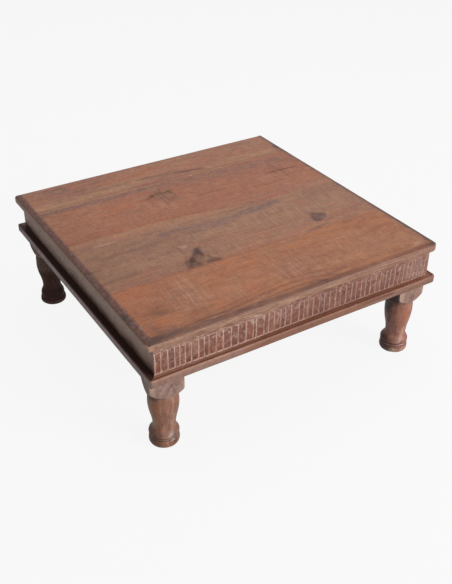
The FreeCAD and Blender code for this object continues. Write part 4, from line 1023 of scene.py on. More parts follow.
def plain_wood(name, red, tan, dark, along="x", rough=(0.36, 0.5), spec=0.5, seed=0.0, dust=0.0, dust_and_sheen_color=None,
               fibre=1.0, bump=0.3):
    """Old polished timber: along is the object axis the grain follows."""
    n = Net(name)
    o = n.obj()
    ox, oy, oz = n.split(o)
    a, b, c = {"x": (ox, oy, oz), "y": (oy, ox, oz), "z": (oz, ox, oy)}[along]
    warp = n.noise(n.scale(o, (18, 18, 18)), 1.0, 2, 0.5)
    w = n.math("MULTIPLY", n.math("SUBTRACT", warp, 0.5), 0.008)
    b2, c2 = n.math("ADD", b, w), n.math("ADD", c, w)

    def grain(ka, kb, detail, s):
        return n.noise(n.join(n.math("MULTIPLY", a, ka), n.math("ADD", n.math("MULTIPLY", b2, kb), s),
                              n.math("MULTIPLY", c2, kb)), 1.0, detail, 0.6)
    band = grain(5, 60, 4, seed)
    fib = grain(14, 260, 4, seed + 5)
    fine = grain(40, 900, 3, seed + 9)
    mott = n.noise(n.add(n.scale(o, (60, 60, 60)), (seed, 0, 0)), 1.0, 4, 0.6)
    base = n.mix(n.rng(band, 0.36, 0.64), red, tan)
    base = n.mix(n.rng(mott, 0.46, 0.75, 0.0, 0.5), base, dark)
    base = n.mix(n.math("MULTIPLY", n.rng(fib, 0.5, 0.76, 0.0, 0.6), fibre), base, dark)
    base = n.mix(n.math("MULTIPLY", n.rng(fine, 0.56, 0.75, 0.0, 0.4), fibre), base, tuple(v * 0.45 for v in dark[:3]) + (1,))
    m = n.attr("m", "Vector")
    arris, dirt_and_shade, dust_and_sheen = n.split(m)
    rub = n.noise(n.scale(o, (180, 180, 180)), 1.0, 4, 0.65)
    if dust_and_sheen_color is not None:
        base = n.mix(n.math("MULTIPLY", dust_and_sheen, n.rng(rub, 0.25, 0.62, 0.4, 1.0)), base, dust_and_sheen_color)
    base = n.mix(n.math("MULTIPLY", dirt_and_shade, 0.85), base, lin(40, 24, 20))
    base = n.mix(n.math("MULTIPLY", arris, n.rng(rub, 0.3, 0.56, 0.3, 1.0)), base, lin(188, 146, 126))
    r = n.rng(n.math("ADD", n.math("MULTIPLY", fib, 0.6), n.math("MULTIPLY", rub, 0.6)), 0.3, 0.9, rough[0], rough[1])
    h = n.math("ADD", n.math("MULTIPLY", fib, -0.6), n.math("MULTIPLY", rub, 0.5))
    return n.finish(base, r, n.bump(h, bump, 0.0006), spec=spec)


def plain_panel(side, mat):
    """side: 'left', 'right' or 'back' board of the frieze."""
    zs = np.concatenate([np.arange(FZ0, FZ1, 1.5), [FZ1]])
    half = BX if side == "back" else BY
    us = np.linspace(-half, half, 311)
    U, Z = np.meshgrid(us, zs)
    off = 0.12 + 0.12 * fbm(U / 60.0, Z / 16.0, {"left": 71, "right": 72, "back": 73}[side], 3)
    off = off * smooth(half, half - 3, np.abs(U))
    cloud = fbm(U / 34.0, Z / 30.0, 85, 4)
    fine = fbm(U / 7.0, Z / 9.0, 86, 3)
    arris = np.zeros_like(U)
    if side == "left":
        # U grows towards the front
        drop = -2.7 * smooth(200, 178, Z)
        P = np.stack([-BX + off, -U, Z + drop], -1)
        back = [(-INX, INY, FZ0 - 2.7), (-INX, -INY, FZ0 - 2.7), (-INX, INY, FZ1), (-INX, -INY, FZ1)]
        arris = 0.95 * smooth(half - 2.6, half - 0.9, U) * (0.6 + 0.4 * vnoise(Z / 3.0, 1.0, 87))
        # the left board is painted pale grey above and darker towards the moulding: a painted reflection of the floor
        # above, painted shade below
        edge = 186.0 + 7.0 * cloud + 4.0 * fine + 4.0 * smooth(0, half, U)
        dust_and_sheen = smooth(edge - 9.0, edge + 20.0, Z) * np.clip(0.95 + 0.35 * fine - 0.18 * smooth(100, half, U), 0, 1)
        dirt_and_shade = np.clip(smooth(FZ0 + 6, FZ0, Z) * 0.75 + 0.5 * smooth(edge + 4.0, edge - 7.0, Z), 0, 0.9)
    else:
        dust_and_sheen = 0.25 * smooth(-0.2, 0.6, cloud + 0.4 * fine)
        # darker along the foot and along the top edge
        dirt_and_shade = np.clip(smooth(FZ0 + 7, FZ0, Z) * 0.6 + 0.25 * smooth(FZ1 - 6, FZ1, Z), 0, 1)
        lower = smooth(206, 178, Z)
        if side == "right":
            P = np.stack([BX - off, U, Z + sunk(BX) * lower], -1)
            back = [(INX, -INY, FZ0 - 2.3), (INX, INY, FZ0 - 2.3), (INX, -INY, FZ1), (INX, INY, FZ1)]
        else:
            P = np.stack([-U, BY - off, Z + (sag(-U) + sunk(-U)) * lower], -1)
            back = [(INX, INY, FZ0 - 2.3), (-INX, INY, FZ0 - 2.3), (INX, INY, FZ1), (-INX, INY, FZ1)]
    m = np.stack([arris, dirt_and_shade, dust_and_sheen], -1)
    panel("frieze_" + side + "_worn", P, back, mat, {"m": m}, "frieze_" + side)


make_frieze_front()
# the pale grey mixed into the left board is a painted reflection of the floor
SIDE_DARK = plain_wood("frieze_side_wood", lin(120, 86, 72), lin(136, 102, 86), lin(74, 48, 40), "y", (0.42, 0.58), 0.34, 2.0,
                       dust_and_sheen_color=lin(188, 166, 155))
SIDE_R = plain_wood("frieze_right_wood", lin(112, 74, 62), lin(128, 88, 72), lin(74, 46, 40), "y", (0.38, 0.5), 0.45, 6.0,
                    dust_and_sheen_color=lin(160, 122, 104))
BACK_M = plain_wood("frieze_back_wood", lin(112, 74, 62), lin(128, 88, 72), lin(74, 46, 40), "x", (0.38, 0.5), 0.45, 8.0,
                    dust_and_sheen_color=lin(160, 122, 104))
plain_panel("left", SIDE_DARK)
plain_panel("right", SIDE_R)
plain_panel("back", BACK_M)


# ------------------------------------------------------------------ base moulding
def moulding_section(side):
    """(inset, height, worn, dirt, nose) from the underside round the nose to the top."""
    a, b = (1.9, 1.3) if side == "left" else (3.0, 1.7)
    z0 = MZ0 + 0.15
    sec = [(12.0, z0, 0, 0, 0), (7.0, z0, 0, 0.1, 0), (b, z0, 0, 0.1, 0)]
    for k in range(1, 4):
        t = math.radians(90 * k / 3)
        sec.append((b - b * math.sin(t), z0 + b - b * math.cos(t), 0, 0, 0.33 * k))
    sec += [(0, 167.2, 0, 0, 1), (0, 169.2, 0, 0, 1), (0, 171.2, 0, 0, 1), (0, 173.2, 0.1, 0, 1)]
    sec.append((0, MZ1 - a, 0.35, 0, 1.0))
    for k in range(1, 5):
        t = math.radians(90 * k / 4)
        w = (0.8, 1.0, 0.9, 0.3)[k - 1]
        sec.append((a - a * math.cos(t), MZ1 - a + a * math.sin(t), w, 0, 1 - k / 4))
    sec += [(3.6, MZ1 - 0.2, 0.0, 0.55, 0), (4.8, MZ1 - 0.5, 0.0, 0.45, 0), (6.5, MZ1 - 0.5, 0.0, 0.12, 0),
            (9.0, MZ1 - 0.5, 0, 0.05, 0), (11.4, MZ1 - 0.5, 0, 0.0, 0), (12.0, MZ1 - 0.5, 0, 0.1, 0)]
    return sec


def make_moulding():
    radii = {(-1, -1): 3.0, (1, -1): 10.0, (1, 1): 6.0, (-1, 1): 6.0}
    ends = {"front": ((-1, -1), (1, -1)), "right": ((1, -1), (1, 1)),
            "back": ((1, 1), (-1, 1)), "left": ((-1, 1), (-1, -1))}
    mats = {
        "front": plain_wood("moulding_front_wood", lin(132, 84, 64), lin(146, 97, 76), lin(96, 58, 45), "x", (0.45, 0.6), 0.28, 3.0, dust_and_sheen_color=lin(150, 120, 107)),
        # the left moulding's colours are darker than the other sides, grime and painted shade, and its pale grey is a
        # painted reflection of the floor
        "left": plain_wood("moulding_left_wood", lin(92, 52, 46), lin(104, 64, 56), lin(50, 28, 26), "y", (0.38, 0.52), 0.36, 4.0, dust_and_sheen_color=lin(166, 148, 144)),
        "right": plain_wood("moulding_right_wood", lin(112, 72, 58), lin(128, 88, 72), lin(74, 44, 34), "y", (0.4, 0.55), 0.45, 5.0, dust_and_sheen_color=lin(150, 112, 96)),
        "back": plain_wood("moulding_back_wood", lin(112, 72, 58), lin(128, 88, 72), lin(74, 44, 34), "x", (0.4, 0.55), 0.45, 7.0, dust_and_sheen_color=lin(150, 112, 96)),
    }
    for side, (c0, c1) in ends.items():
        sec = moulding_section(side)
        along = Vector(((c1[0] - c0[0]) / 2, (c1[1] - c0[1]) / 2))      # unit, direction of travel
        inward = Vector((-along.y, along.x))
        half = MX if abs(along.x) > 0.5 else MY
        face = MY if abs(along.x) > 0.5 else MX
        s_in = np.arange(-half + 16, half - 15.9, 2.5)
        V, at = [], []
        cols = None
        for inset, z, ar, dirt_and_shade_mask, no in sec:
            pts = []

            def local(s, t):
                """s along the side from its middle, t inwards from the outer face."""
                p = along * s + inward * t - inward * face
                return (p.x, p.y)

            for end, c in ((0, c0), (1, c1)):
                r = radii[c]
                rr, e = max(r - inset, 0.0), max(r, inset)
                arc = []
                for i in range(4):
                    ang = math.radians(45.0 * i / 3)                    # 0 at the straight run, 45 at the mitre
                    s = half - e + rr * math.sin(ang)
                    t = e - rr * math.cos(ang)
                    arc.append((s, t))
                if end == 0:
                    pts = [local(-s, t) for s, t in arc[::-1]]
                    a0 = -(half - e)
                    pts += [local(a0 + (s_in[0] - a0) * q, inset) for q in (0.33, 0.66)]
                    pts += [local(s, inset) for s in s_in]
                    a1 = half - max(radii[c1], inset)
                    pts += [local(s_in[-1] + (a1 - s_in[-1]) * q, inset) for q in (0.33, 0.66)]
                else:
                    pts += [local(s, t) for s, t in arc]
            cols = len(pts)
            for p in pts:
                V.append((p[0], p[1], z))
                at.append((ar, dirt_and_shade_mask, no, inset))
        V, at = np.array(V, float), np.array(at, float)
        rows = len(sec)
        F = []
        for j in range(rows - 1):
            for i in range(cols - 1):
                q = j * cols + i
                F.append([q, q + 1, q + cols + 1, q + cols])
        # wear
        s = V[:, 0] * along.x + V[:, 1] * along.y
        sd = {"front": 81, "right": 82, "back": 83, "left": 84}[side]
        nick = smooth(0.3, 0.8, fbm(s / 8.0, 1.0, sd, 3))
        wave = 0.5 * fbm(s / 55.0, 3.0, sd + 10, 3)
        push = at[:, 0] * (0.7 * nick + 0.4 * (wave + 0.4)) + at[:, 2] * np.clip(0.22 + 0.3 * wave, 0, 0.6)
        fade = smooth(half - 2, half - 14, np.abs(s))
        V[:, 0] += inward.x * push * fade
        V[:, 1] += inward.y * push * fade
        V[:, 2] -= np.where(V[:, 2] > 174, at[:, 0] * (0.5 * nick + 0.2) * fade, 0)
        nr = len(V)
        # flat parts inside the nose, notched for the posts
        outline = []
        n0, n1 = POSTX, POSTY

        def corner_pts(c):
            """From the mitre at 12 mm in, round the notch, to the inner corner."""
            sx, sy = c
            if abs(along.x) > 0.5:
                seq = [(INX, INY), (POSTX, INY), (POSTX, POSTX - 0.5), (MX - MW, MY - MW)]
            else:
                seq = [(INX, INY), (INX, POSTY), (POSTX, POSTY), (POSTX, POSTX - 0.5), (MX - MW, MY - MW)]
            return [(sx * x, sy * y) for x, y in seq]
        inner = corner_pts(c0) + corner_pts(c1)[::-1]
        rings = []
        for z in (MZ1 - 0.5, MZ0 + 0.15):
            ids = []
            for x, y in inner:
                ids.append(len(V))
                V = np.vstack([V, [x, y, z]])
            rings.append(ids)
        top_row = [(rows - 1) * cols + i for i in range(cols)]
        bot_row = list(range(cols))
        F.append(top_row + rings[0][::-1])
        F.append(bot_row[::-1] + rings[1])
        k = len(inner)
        for i in range(k - 1):
            F.append([rings[0][i + 1], rings[0][i], rings[1][i], rings[1][i + 1]])
        F.append([j * cols for j in range(rows)] + [rings[0][0], rings[1][0]])
        F.append([j * cols + cols - 1 for j in range(rows - 1, -1, -1)] + [rings[1][-1], rings[0][-1]])
        X, Y, Z = V[:, 0], V[:, 1], V[:, 2]
        ar = np.zeros(len(V)); dirt_and_shade_mask = np.zeros(len(V)); dust_and_sheen_mask = np.zeros(len(V))
        ar[:nr], dirt_and_shade_mask[:nr], dust_and_sheen_mask[:nr] = at[:, 0], at[:, 1], at[:, 2]
        gain = {"front": 1.0, "left": 0.12, "right": 0.6, "back": 0.6}[side]
        ar *= gain * (0.75 + 0.25 * vnoise(X / 30.0, Y / 30.0, 91))
        dust_and_sheen_mask *= {"front": 0.9, "left": 1.0, "right": 0.6, "back": 0.6}[side]
        top_in = np.zeros(len(V))
        top_in[:nr] = np.where(Z[:nr] > 175, at[:, 3], 0)
        if side == "left":
            # black on top, right up to the face: grime and painted shade; the face keeps only a pale grey, a painted
            # reflection of the floor, and the lower edge is darkened as painted shade
            dirt_and_shade_mask = np.maximum(dirt_and_shade_mask, 0.97 * smooth(0.05, 0.9, top_in))
            dust_and_sheen_mask *= smooth(0.7, 0.1, top_in) * (Z > 165.0)
            dirt_and_shade_mask = np.maximum(dirt_and_shade_mask, 0.5 * smooth(166.5, 164.0, Z))
            ar += 0.8 * np.exp(-((Y + MY) / 5.0) ** 2) * (Z > 173) * (top_in < 2.5)
            dirt_and_shade_mask = np.maximum(dirt_and_shade_mask, (0.05 + 0.30 * smooth(40, 200, Y) + 0.16 * smooth(-60, -200, Y)) * (0.6 + 0.8 * vnoise(Y / 15.0, Z / 4.0, 195)))
        if side == "front":
            ar *= 0.03 + 0.40 * smooth(-20, -170, X) - 0.06 * smooth(-230, -290, X)
            dirt_and_shade_mask = np.maximum(dirt_and_shade_mask, 0.30 * smooth(3.2, 4.2, top_in) * smooth(6.4, 5.0, top_in) * (0.5 + 0.5 * vnoise(X / 14.0, 2.0, 92)))
            ar += 0.30 * np.exp(-((top_in - 9.5) / 1.5) ** 2) * smooth(-120, -240, X)
            dirt_and_shade_mask = np.maximum(dirt_and_shade_mask, 0.22 * smooth(60, -60, X) * np.exp(-((top_in - 5.4) / 1.6) ** 2))
            dirt_and_shade_mask = np.maximum(dirt_and_shade_mask, (0.17 + 0.13 * fbm(X / 12.0, Z / 3.0, 94, 3)) * smooth(-120, 60, X))
            dust_and_sheen_mask *= 1 - 0.62 * smooth(-170, -100, X) * smooth(150, 110, X)
            hot = smooth(108, 132, X) * smooth(214, 190, X) * smooth(168.5, 172.0, Z)
            dust_and_sheen_mask *= 1 - 0.85 * hot
            dust_and_sheen_mask *= 1 - 0.32 * smooth(196, 222, X)
            end_r = smooth(262, 284, X) * (Z > 174) * (top_in > 2.4)
            dirt_and_shade_mask = dirt_and_shade_mask * (1 - 0.8 * end_r)
            ar += 0.34 * end_r * (0.5 + 0.5 * vnoise(X / 5.0, Y / 5.0, 196))
            dust_and_sheen_mask = np.maximum(dust_and_sheen_mask, 0.85 * (top_in > 11.0) * smooth(-90, -190, X) * (0.6 + 0.4 * vnoise(X / 7.0, 5.0, 193)))
            dirt_and_shade_mask = np.maximum(dirt_and_shade_mask, 0.30 * hot)
        V[:, 2] += sag(X)
        V[:nr, 2] += np.where((Z[:nr] > 176), (sunk(X[:nr]) + 0.5) * smooth(3.2, 8.0, at[:, 3]), 0)
        V[nr:, 2] += np.where(Z[nr:] > 176, sunk(X[nr:]) + 0.5, 0)
        if side == "left":
            V[:nr, 2] += np.where(Z[:nr] > 176, -0.6 * smooth(3.2, 8.0, at[:, 3]), 0)
        name = "base_moulding_" + side
        m = np.stack([np.clip(ar, 0, 1), np.clip(dirt_and_shade_mask, 0, 1), np.clip(dust_and_sheen_mask, 0, 1)], 1)
        new_piece(name + "_worn", V, F, mats[side], {"m": m}, node=name, sharp=45)


make_moulding()


# ------------------------------------------------------------------ legs
TURN = ((0.0, 22.4), (1.3, 24.4), (3.2, 26.0), (6.0, 27.0), (9.0, 27.2), (12.0, 26.9), (14.6, 26.2), (16.4, 24.8),
        (17.6, 25.9), (19.2, 26.4), (20.8, 26.1), (22.0, 24.7), (23.0, 26.2), (24.6, 26.9), (26.6, 26.3), (28.8, 24.9),
        (31.2, 23.1), (33.6, 21.5), (36.0, 20.4), (38.6, 19.9), (42.0, 20.0), (46.0, 20.3), (50.0, 20.8), (56.0, 21.8),
        (61.0, 22.8), (67.0, 24.2), (73.0, 25.4), (79.0, 26.4), (85.0, 27.1), (91.0, 27.4), (97.0, 27.2), (102.0, 26.9),
        (107.0, 26.3), (111.0, 25.6), (113.2, 25.1))
TURN_FR = ((0.0, 25.0), (1.1, 26.0), (3.0, 26.9), (6.0, 27.2), (9.0, 27.0), (11.6, 26.6), (13.4, 26.1), (14.2, 25.7),
           (15.2, 26.3), (16.8, 26.4), (18.0, 25.7), (19.0, 24.3), (20.0, 25.6), (21.4, 26.5), (23.4, 26.8), (25.6, 26.3),
           (28.2, 24.9), (31.2, 23.0), (34.5, 21.2), (37.0, 20.2), (40.0, 19.8), (44.0, 19.9), (49.0, 20.3), (55.0, 21.0),
           (61.0, 22.1), (67.0, 23.4), (73.0, 24.5), (79.0, 25.4), (85.0, 26.1), (91.0, 26.5), (97.0, 26.7), (103.0, 26.6),
           (109.0, 26.2), (113.5, 25.7), (116.2, 25.1))
TURN_BL = ((0.0, 23.9), (1.2, 25.5), (3.2, 26.6), (6.0, 26.9), (9.0, 26.5), (11.6, 25.7), (13.4, 24.8), (14.4, 24.2),
           (15.4, 24.5), (18.0, 24.6), (21.0, 24.5), (24.0, 24.0), (27.0, 23.1), (30.0, 21.7), (33.0, 20.3), (36.0, 19.4),
           (39.5, 19.1), (44.0, 19.1), (49.0, 19.5), (54.0, 20.2), (60.0, 21.4), (66.0, 23.0), (72.0, 24.6), (78.0, 25.7),
           (84.0, 26.5), (90.0, 26.8), (96.0, 26.7), (102.0, 26.5), (108.0, 26.1), (113.0, 25.5), (116.2, 25.1))
TURN_BR = tuple((z, r * 0.992) for z, r in TURN)
SHOULDER = ((0.0, 0.945), (2.0, 0.985), (4.5, 1.055), (7.5, 1.155), (10.5, 1.25), (14.0, 1.34), (17.5, 1.395),
            (22.5, 1.4143))
VIEW = -121.7           # the way a leg's front turns to someone who stands at the front left, degrees


def spline(points, z):
    """Natural cubic through the (height, radius) points."""
    x = np.array([p[0] for p in points]); y = np.array([p[1] for p in points])
    n = len(x)
    h = np.diff(x)
    A = np.zeros((n, n)); r = np.zeros(n)
    A[0, 0] = A[-1, -1] = 1
    for i in range(1, n - 1):
        A[i, i - 1], A[i, i], A[i, i + 1] = h[i - 1], 2 * (h[i - 1] + h[i]), h[i]
        r[i] = 6 * ((y[i + 1] - y[i]) / h[i] - (y[i] - y[i - 1]) / h[i - 1])
    m = np.linalg.solve(A, r)
    i = np.clip(np.searchsorted(x, z) - 1, 0, n - 2)
    t0, t1 = x[i + 1] - z, z - x[i]
    return (m[i] * t0 ** 3 + m[i + 1] * t1 ** 3) / (6 * h[i]) + (y[i] / h[i] - m[i] * h[i] / 6) * t0 + (y[i + 1] / h[i] - m[i + 1] * h[i] / 6) * t1


def leg_material(name, red, tan, dark, pale, dusty_a, dusty_b, seed, rough=(0.26, 0.44), spec=0.5, streaks=1.0):
    """Turned timber with the grain upright; the marks are painted round it."""
    n = Net(name)
    o = n.obj()
    ox, oy, oz = n.split(o)
    warp = n.noise(n.scale(o, (20, 20, 16)), 1.0, 2, 0.5)
    w = n.math("MULTIPLY", n.math("SUBTRACT", warp, 0.5), 0.009)
    bx, by = n.math("ADD", ox, w), n.math("ADD", oy, w)

    def grain(kz, kb, detail, add):
        return n.noise(n.join(n.math("MULTIPLY", oz, kz), n.math("ADD", n.math("MULTIPLY", bx, kb), add),
                              n.math("MULTIPLY", by, kb)), 1.0, detail, 0.62)
    band = grain(7, 90, 3, seed)
    fib = grain(20, 340, 4, seed + 5)
    fine = grain(60, 950, 3, seed + 9)
    mott = n.noise(n.add(n.scale(o, (80, 80, 55)), (seed, 0, 0)), 1.0, 4, 0.6)
    rub = n.noise(n.add(n.scale(o, (230, 230, 230)), (0, seed, 0)), 1.0, 4, 0.68)
    fleck = n.noise(n.join(n.math("MULTIPLY", ox, 520), n.math("MULTIPLY", oy, 520), n.math("MULTIPLY", oz, 190)), 1.0, 3, 0.6)
    base = n.mix(n.rng(band, 0.40, 0.60), red, tan)
    base = n.mix(n.rng(mott, 0.50, 0.68, 0.0, 0.40), base, dark)
    base = n.mix(n.rng(mott, 0.44, 0.30, 0.0, 0.30 * streaks), base, pale)
    base = n.mix(n.rng(fib, 0.52, 0.65, 0.0, 0.40 * streaks), base, dark)
    base = n.mix(n.rng(fib, 0.46, 0.33, 0.0, 0.32 * streaks), base, pale)
    base = n.mix(n.rng(fine, 0.54, 0.66, 0.0, 0.30 * streaks), base, tuple(v * 0.5 for v in dark[:3]) + (1,))
    arris, dirt_and_shade, dust_and_sheen = n.split(n.attr("m", "Vector"))
    wear_and_highlight, deep, warm = n.split(n.attr("p", "Vector"))
    base = n.mix(n.math("MULTIPLY", warm, n.rng(mott, 0.3, 0.6, 0.6, 1.0)), base, lin(178, 104, 62))
    blotch = n.noise(n.add(n.scale(o, (62, 62, 48)), (0, seed * 1.3, 4)), 1.0, 3, 0.6)
    blotch2 = n.noise(n.add(n.scale(o, (95, 95, 70)), (7, seed * 0.7, 0)), 1.0, 3, 0.6)
    pink = n.mix(n.rng(rub, 0.38, 0.62), dusty_a, dusty_b)
    pink = n.mix(n.rng(blotch, 0.50, 0.62, 0.0, 0.5), pink, lin(132, 106, 102))
    pink = n.mix(n.rng(blotch2, 0.50, 0.64, 0.0, 0.5), pink, lin(158, 124, 100))
    pink = n.mix(n.rng(mott, 0.50, 0.66, 0.0, 0.6), pink, tuple(v * 0.55 for v in dusty_a[:3]) + (1,))
    pink = n.mix(n.rng(fib, 0.53, 0.66, 0.0, 0.28), pink, tuple(v * 0.5 for v in dusty_a[:3]) + (1,))
    base = n.mix(dust_and_sheen, base, pink)
    base = n.mix(n.math("MULTIPLY", deep, n.rng(rub, 0.3, 0.62, 0.75, 1.0)), base, lin(72, 48, 48))
    base = n.mix(n.math("MULTIPLY", wear_and_highlight, n.rng(fleck, 0.40, 0.58, 0.25, 1.0)), base, lin(206, 178, 154))
    base = n.mix(n.math("MULTIPLY", dirt_and_shade, n.rng(rub, 0.3, 0.6, 0.6, 0.92)), base, lin(56, 32, 28))
    base = n.mix(n.math("MULTIPLY", arris, n.rng(rub, 0.36, 0.56, 0.15, 1.0)), base, lin(206, 168, 150))
    r = n.rng(n.math("ADD", n.math("MULTIPLY", fib, 0.5), n.math("MULTIPLY", rub, 0.6)), 0.4, 0.75, rough[0], rough[1])
    r = n.math("ADD", r, n.math("MULTIPLY", dust_and_sheen, 0.22))
    h = n.math("ADD", n.math("MULTIPLY", fib, -0.6), n.math("MULTIPLY", rub, 0.5))
    return n.finish(base, r, n.bump(h, 0.35, 0.0006), spec=spec)


def make_leg(name, sx, sy, turn, cuts, step, half, seed, mat, paint, lean=0.0, askew=0.0):
    z_end = turn[-1][0]
    z_low = np.unique(np.concatenate([[0.0, 0.4], np.arange(1.0, z_end, 1.0), [z_end]] + [[c - 0.5, c, c + 0.5] for c in cuts]))
    breaks = [0.0] + list(cuts) + [z_end]
    r_low = np.zeros(len(z_low))
    for a, b in zip(breaks, breaks[1:]):
        run = [p for p in turn if a - 1e-6 <= p[0] <= b + 1e-6]
        sel = (z_low >= a - 1e-6) & (z_low <= b + 1e-6)
        r_low[sel] = spline(run, np.clip(z_low[sel], a + 1e-6, b))
    z_hi = np.concatenate([[step, step + 0.5, step + 1.2], np.arange(step + 2.0, step + 22.4, 1.0), [step + 22.5]])
    z_hi = np.concatenate([z_hi, [z for z in (142.0, 147.0, 152.0, 157.0, 161.0, 162.9, MZ0) if z > z_hi[-1] + 1.0]])
    r_hi = half * spline(SHOULDER, np.clip(z_hi - step, 1e-6, 22.5))
    Zs = np.concatenate([z_low, z_hi])
    Rs = np.concatenate([r_low, r_hi])
    first = len(z_low)
    # eight octants, each with stations on the flat and stations round the shoulder
    NF, NR = 7, 4
    rows = []
    for j, (z, r) in enumerate(zip(Zs, Rs)):
        square = j >= first
        tc = math.acos(min(1.0, half / r)) if square and r > half else 0.0
        tcc = max(min(tc, math.radians(44.2)), 0.0)
        octv = [tcc * k / NF for k in range(NF)] + [tcc + (math.pi / 4 - tcc) * k / NR for k in range(NR)]
        if tcc == 0.0:
            octv = [math.pi / 4 * k / (NF + NR) for k in range(NF + NR)]
        quarter = octv + [math.pi / 4] + [math.pi / 2 - t for t in octv[:0:-1]]
        th = np.array([t + q * math.pi / 2 for q in range(4) for t in quarter])
        if square:
            rad = np.minimum(half / np.maximum(np.abs(np.cos(th)), np.abs(np.sin(th))), r)
        else:
            rad = np.full(len(th), r)
        rows.append(np.stack([rad * np.cos(th), rad * np.sin(th), np.full(len(th), z)], 1))
    T = len(rows[0])
    P = np.array(rows)
    ang = np.arctan2(P[..., 1], P[..., 0])
    rad = np.hypot(P[..., 0], P[..., 1])
    Z = P[..., 2]
    turned = 1 - smooth(step + 1, step + 14, Z)
    wob = 0.22 * fbm(np.cos(ang) * 1.3 + 5, Z / 24.0 + np.sin(ang) * 1.1, seed, 3) * turned
    oval = 0.25 * np.cos(2 * ang + seed) * turned
    ring = -0.10 * (0.5 + 0.5 * vnoise(Z / 1.7, 0.0 * Z, seed + 2)) * turned
    low = np.exp(-((Z - 6.0) / 4.5) ** 2)
    chip = smooth(0.42, 0.9, fbm(np.cos(ang) * 2.4, Z / 6.0 + np.sin(ang) * 2.4, seed + 3, 3)) * low * 1.2
    edge = smooth(1.364, 1.414, rad / half) * (Z > step + 10)
    bite = edge * (0.35 + 0.9 * smooth(0.2, 0.8, fbm(ang * 3.0, Z / 7.0, seed + 4, 3)))
    lower = np.exp(-((Z - step - 1.0) / 2.5) ** 2) * smooth(0.2, 0.8, fbm(np.cos(ang) * 3.0, np.sin(ang) * 3.0 + Z / 9.0, seed + 9, 3)) * 0.8
    face = (Z > step + 8) * (1 - edge) * 0.10 * (1 + fbm(P[..., 0] / 13.0 + 3, Z / 11.0 + P[..., 1] / 13.0, seed + 5, 3))
    rad2 = rad + wob + oval * 0.6 + ring - chip - bite - face - lower
    rad2 = np.minimum(rad2, rad + 0.35)
    # marks: wear with painted highlights, deep, warm; dents press in
    phi = (np.degrees(ang) - VIEW + 180.0) % 360.0 - 180.0
    seen = (phi - askew * (Z < step) + 180.0) % 360.0 - 180.0
    p, dent, extra_dirt_and_shade, extra_arris = paint(seen, Z, step, seed)
    rad2 = rad2 - dent
    P[..., 0] = rad2 * np.cos(ang)
    P[..., 1] = rad2 * np.sin(ang)
    inside = np.maximum(np.abs(P[..., 0]), np.abs(P[..., 1]))
    f = np.where(inside > half, half / inside, 1.0)
    P[..., 0] *= f
    P[..., 1] *= f
    # the square of the head isn't quite true with the frieze
    ca, sa = math.cos(math.radians(-askew)), math.sin(math.radians(-askew))
    P[..., 0], P[..., 1] = P[..., 0] * ca - P[..., 1] * sa, P[..., 0] * sa + P[..., 1] * ca
    # the foot was turned a little off the leg's axis
    P[..., 0] -= 0.852 * lean * smooth(46, 26, Z)
    P[..., 1] += 0.524 * lean * smooth(46, 26, Z)
    nz = len(Zs)
    V = P.reshape(-1, 3)
    F = []
    for j in range(nz - 1):
        for i in range(T):
            k = (i + 1) % T
            F.append([j * T + i, j * T + k, (j + 1) * T + k, (j + 1) * T + i])
    F.append([i for i in range(T - 1, -1, -1)])
    F.append([(nz - 1) * T + i for i in range(T)])
    # wear and grime, with painted light: the grooves and the groove under the head are darkened as grime and painted
    # shade, the base ring and the bead between the grooves get painted highlights, and the foot darkens at its very
    # bottom
    gr = 0.65 * np.exp(-((Z - z_end - 0.4) / 0.9) ** 2)
    for c in cuts:
        gr = gr + 0.70 * np.exp(-((Z - c) / 0.75) ** 2)
    dirt_and_shade = np.clip(gr + 0.40 * smooth(2.5, 0, Z) + extra_dirt_and_shade, 0, 1)
    rim = np.exp(-((Z - 6.5) / 2.2) ** 2) * 0.28 * (0.5 + 0.5 * fbm(ang * 2, Z / 4.0, seed + 6, 2))
    rim = rim + 0.16 * np.exp(-((Z - (cuts[0] + cuts[-1]) / 2) / 1.2) ** 2) * (0.4 + 0.6 * fbm(ang * 2.5, 0.7, seed + 12, 2))
    lip = 0.55 * np.exp(-((Z - step - 2.4) / 1.6) ** 2) * (0.55 + 0.45 * fbm(ang * 5, 0.3, seed + 10, 2))
    arris = rim + lip + edge * 0.75 + extra_arris
    dust_and_sheen = smooth(step - 0.3, step + 1.2, Z) * np.clip(0.92 + 0.3 * fbm(ang * 2, Z / 12.0, seed + 7, 3), 0, 1)
    m = np.stack([np.clip(arris, 0, 1), dirt_and_shade, np.clip(dust_and_sheen, 0, 1)], -1).reshape(-1, 3)
    p = np.clip(np.stack(p, -1), 0, 1).reshape(-1, 3)
    V = V + np.array([sx * LX, sy * LY, 0.0])
    a = len(V)
    x0, x1 = sorted((sx * POSTX, sx * INX))
    y0, y1 = sorted((sy * POSTY, sy * INY))
    x0, x1, y0, y1 = x0 + 0.02, x1 - 0.02, y0 + 0.02, y1 - 0.02
    post = [(x, y, z) for z in (MZ0, FZ1 - 0.02) for x, y in ((x0, y0), (x1, y0), (x1, y1), (x0, y1))]
    V = np.vstack([V, post])
    F += [[a + 3, a + 2, a + 1, a], [a + 4, a + 5, a + 6, a + 7], [a, a + 1, a + 5, a + 4], [a + 1, a + 2, a + 6, a + 5],
          [a + 2, a + 3, a + 7, a + 6], [a + 3, a, a + 4, a + 7]]
    m = np.vstack([m, np.zeros((8, 3))])
    p = np.vstack([p, np.zeros((8, 3))])
    new_piece(name + "_worn", V, F, mat, {"m": m, "p": p}, node=name, sharp=33)


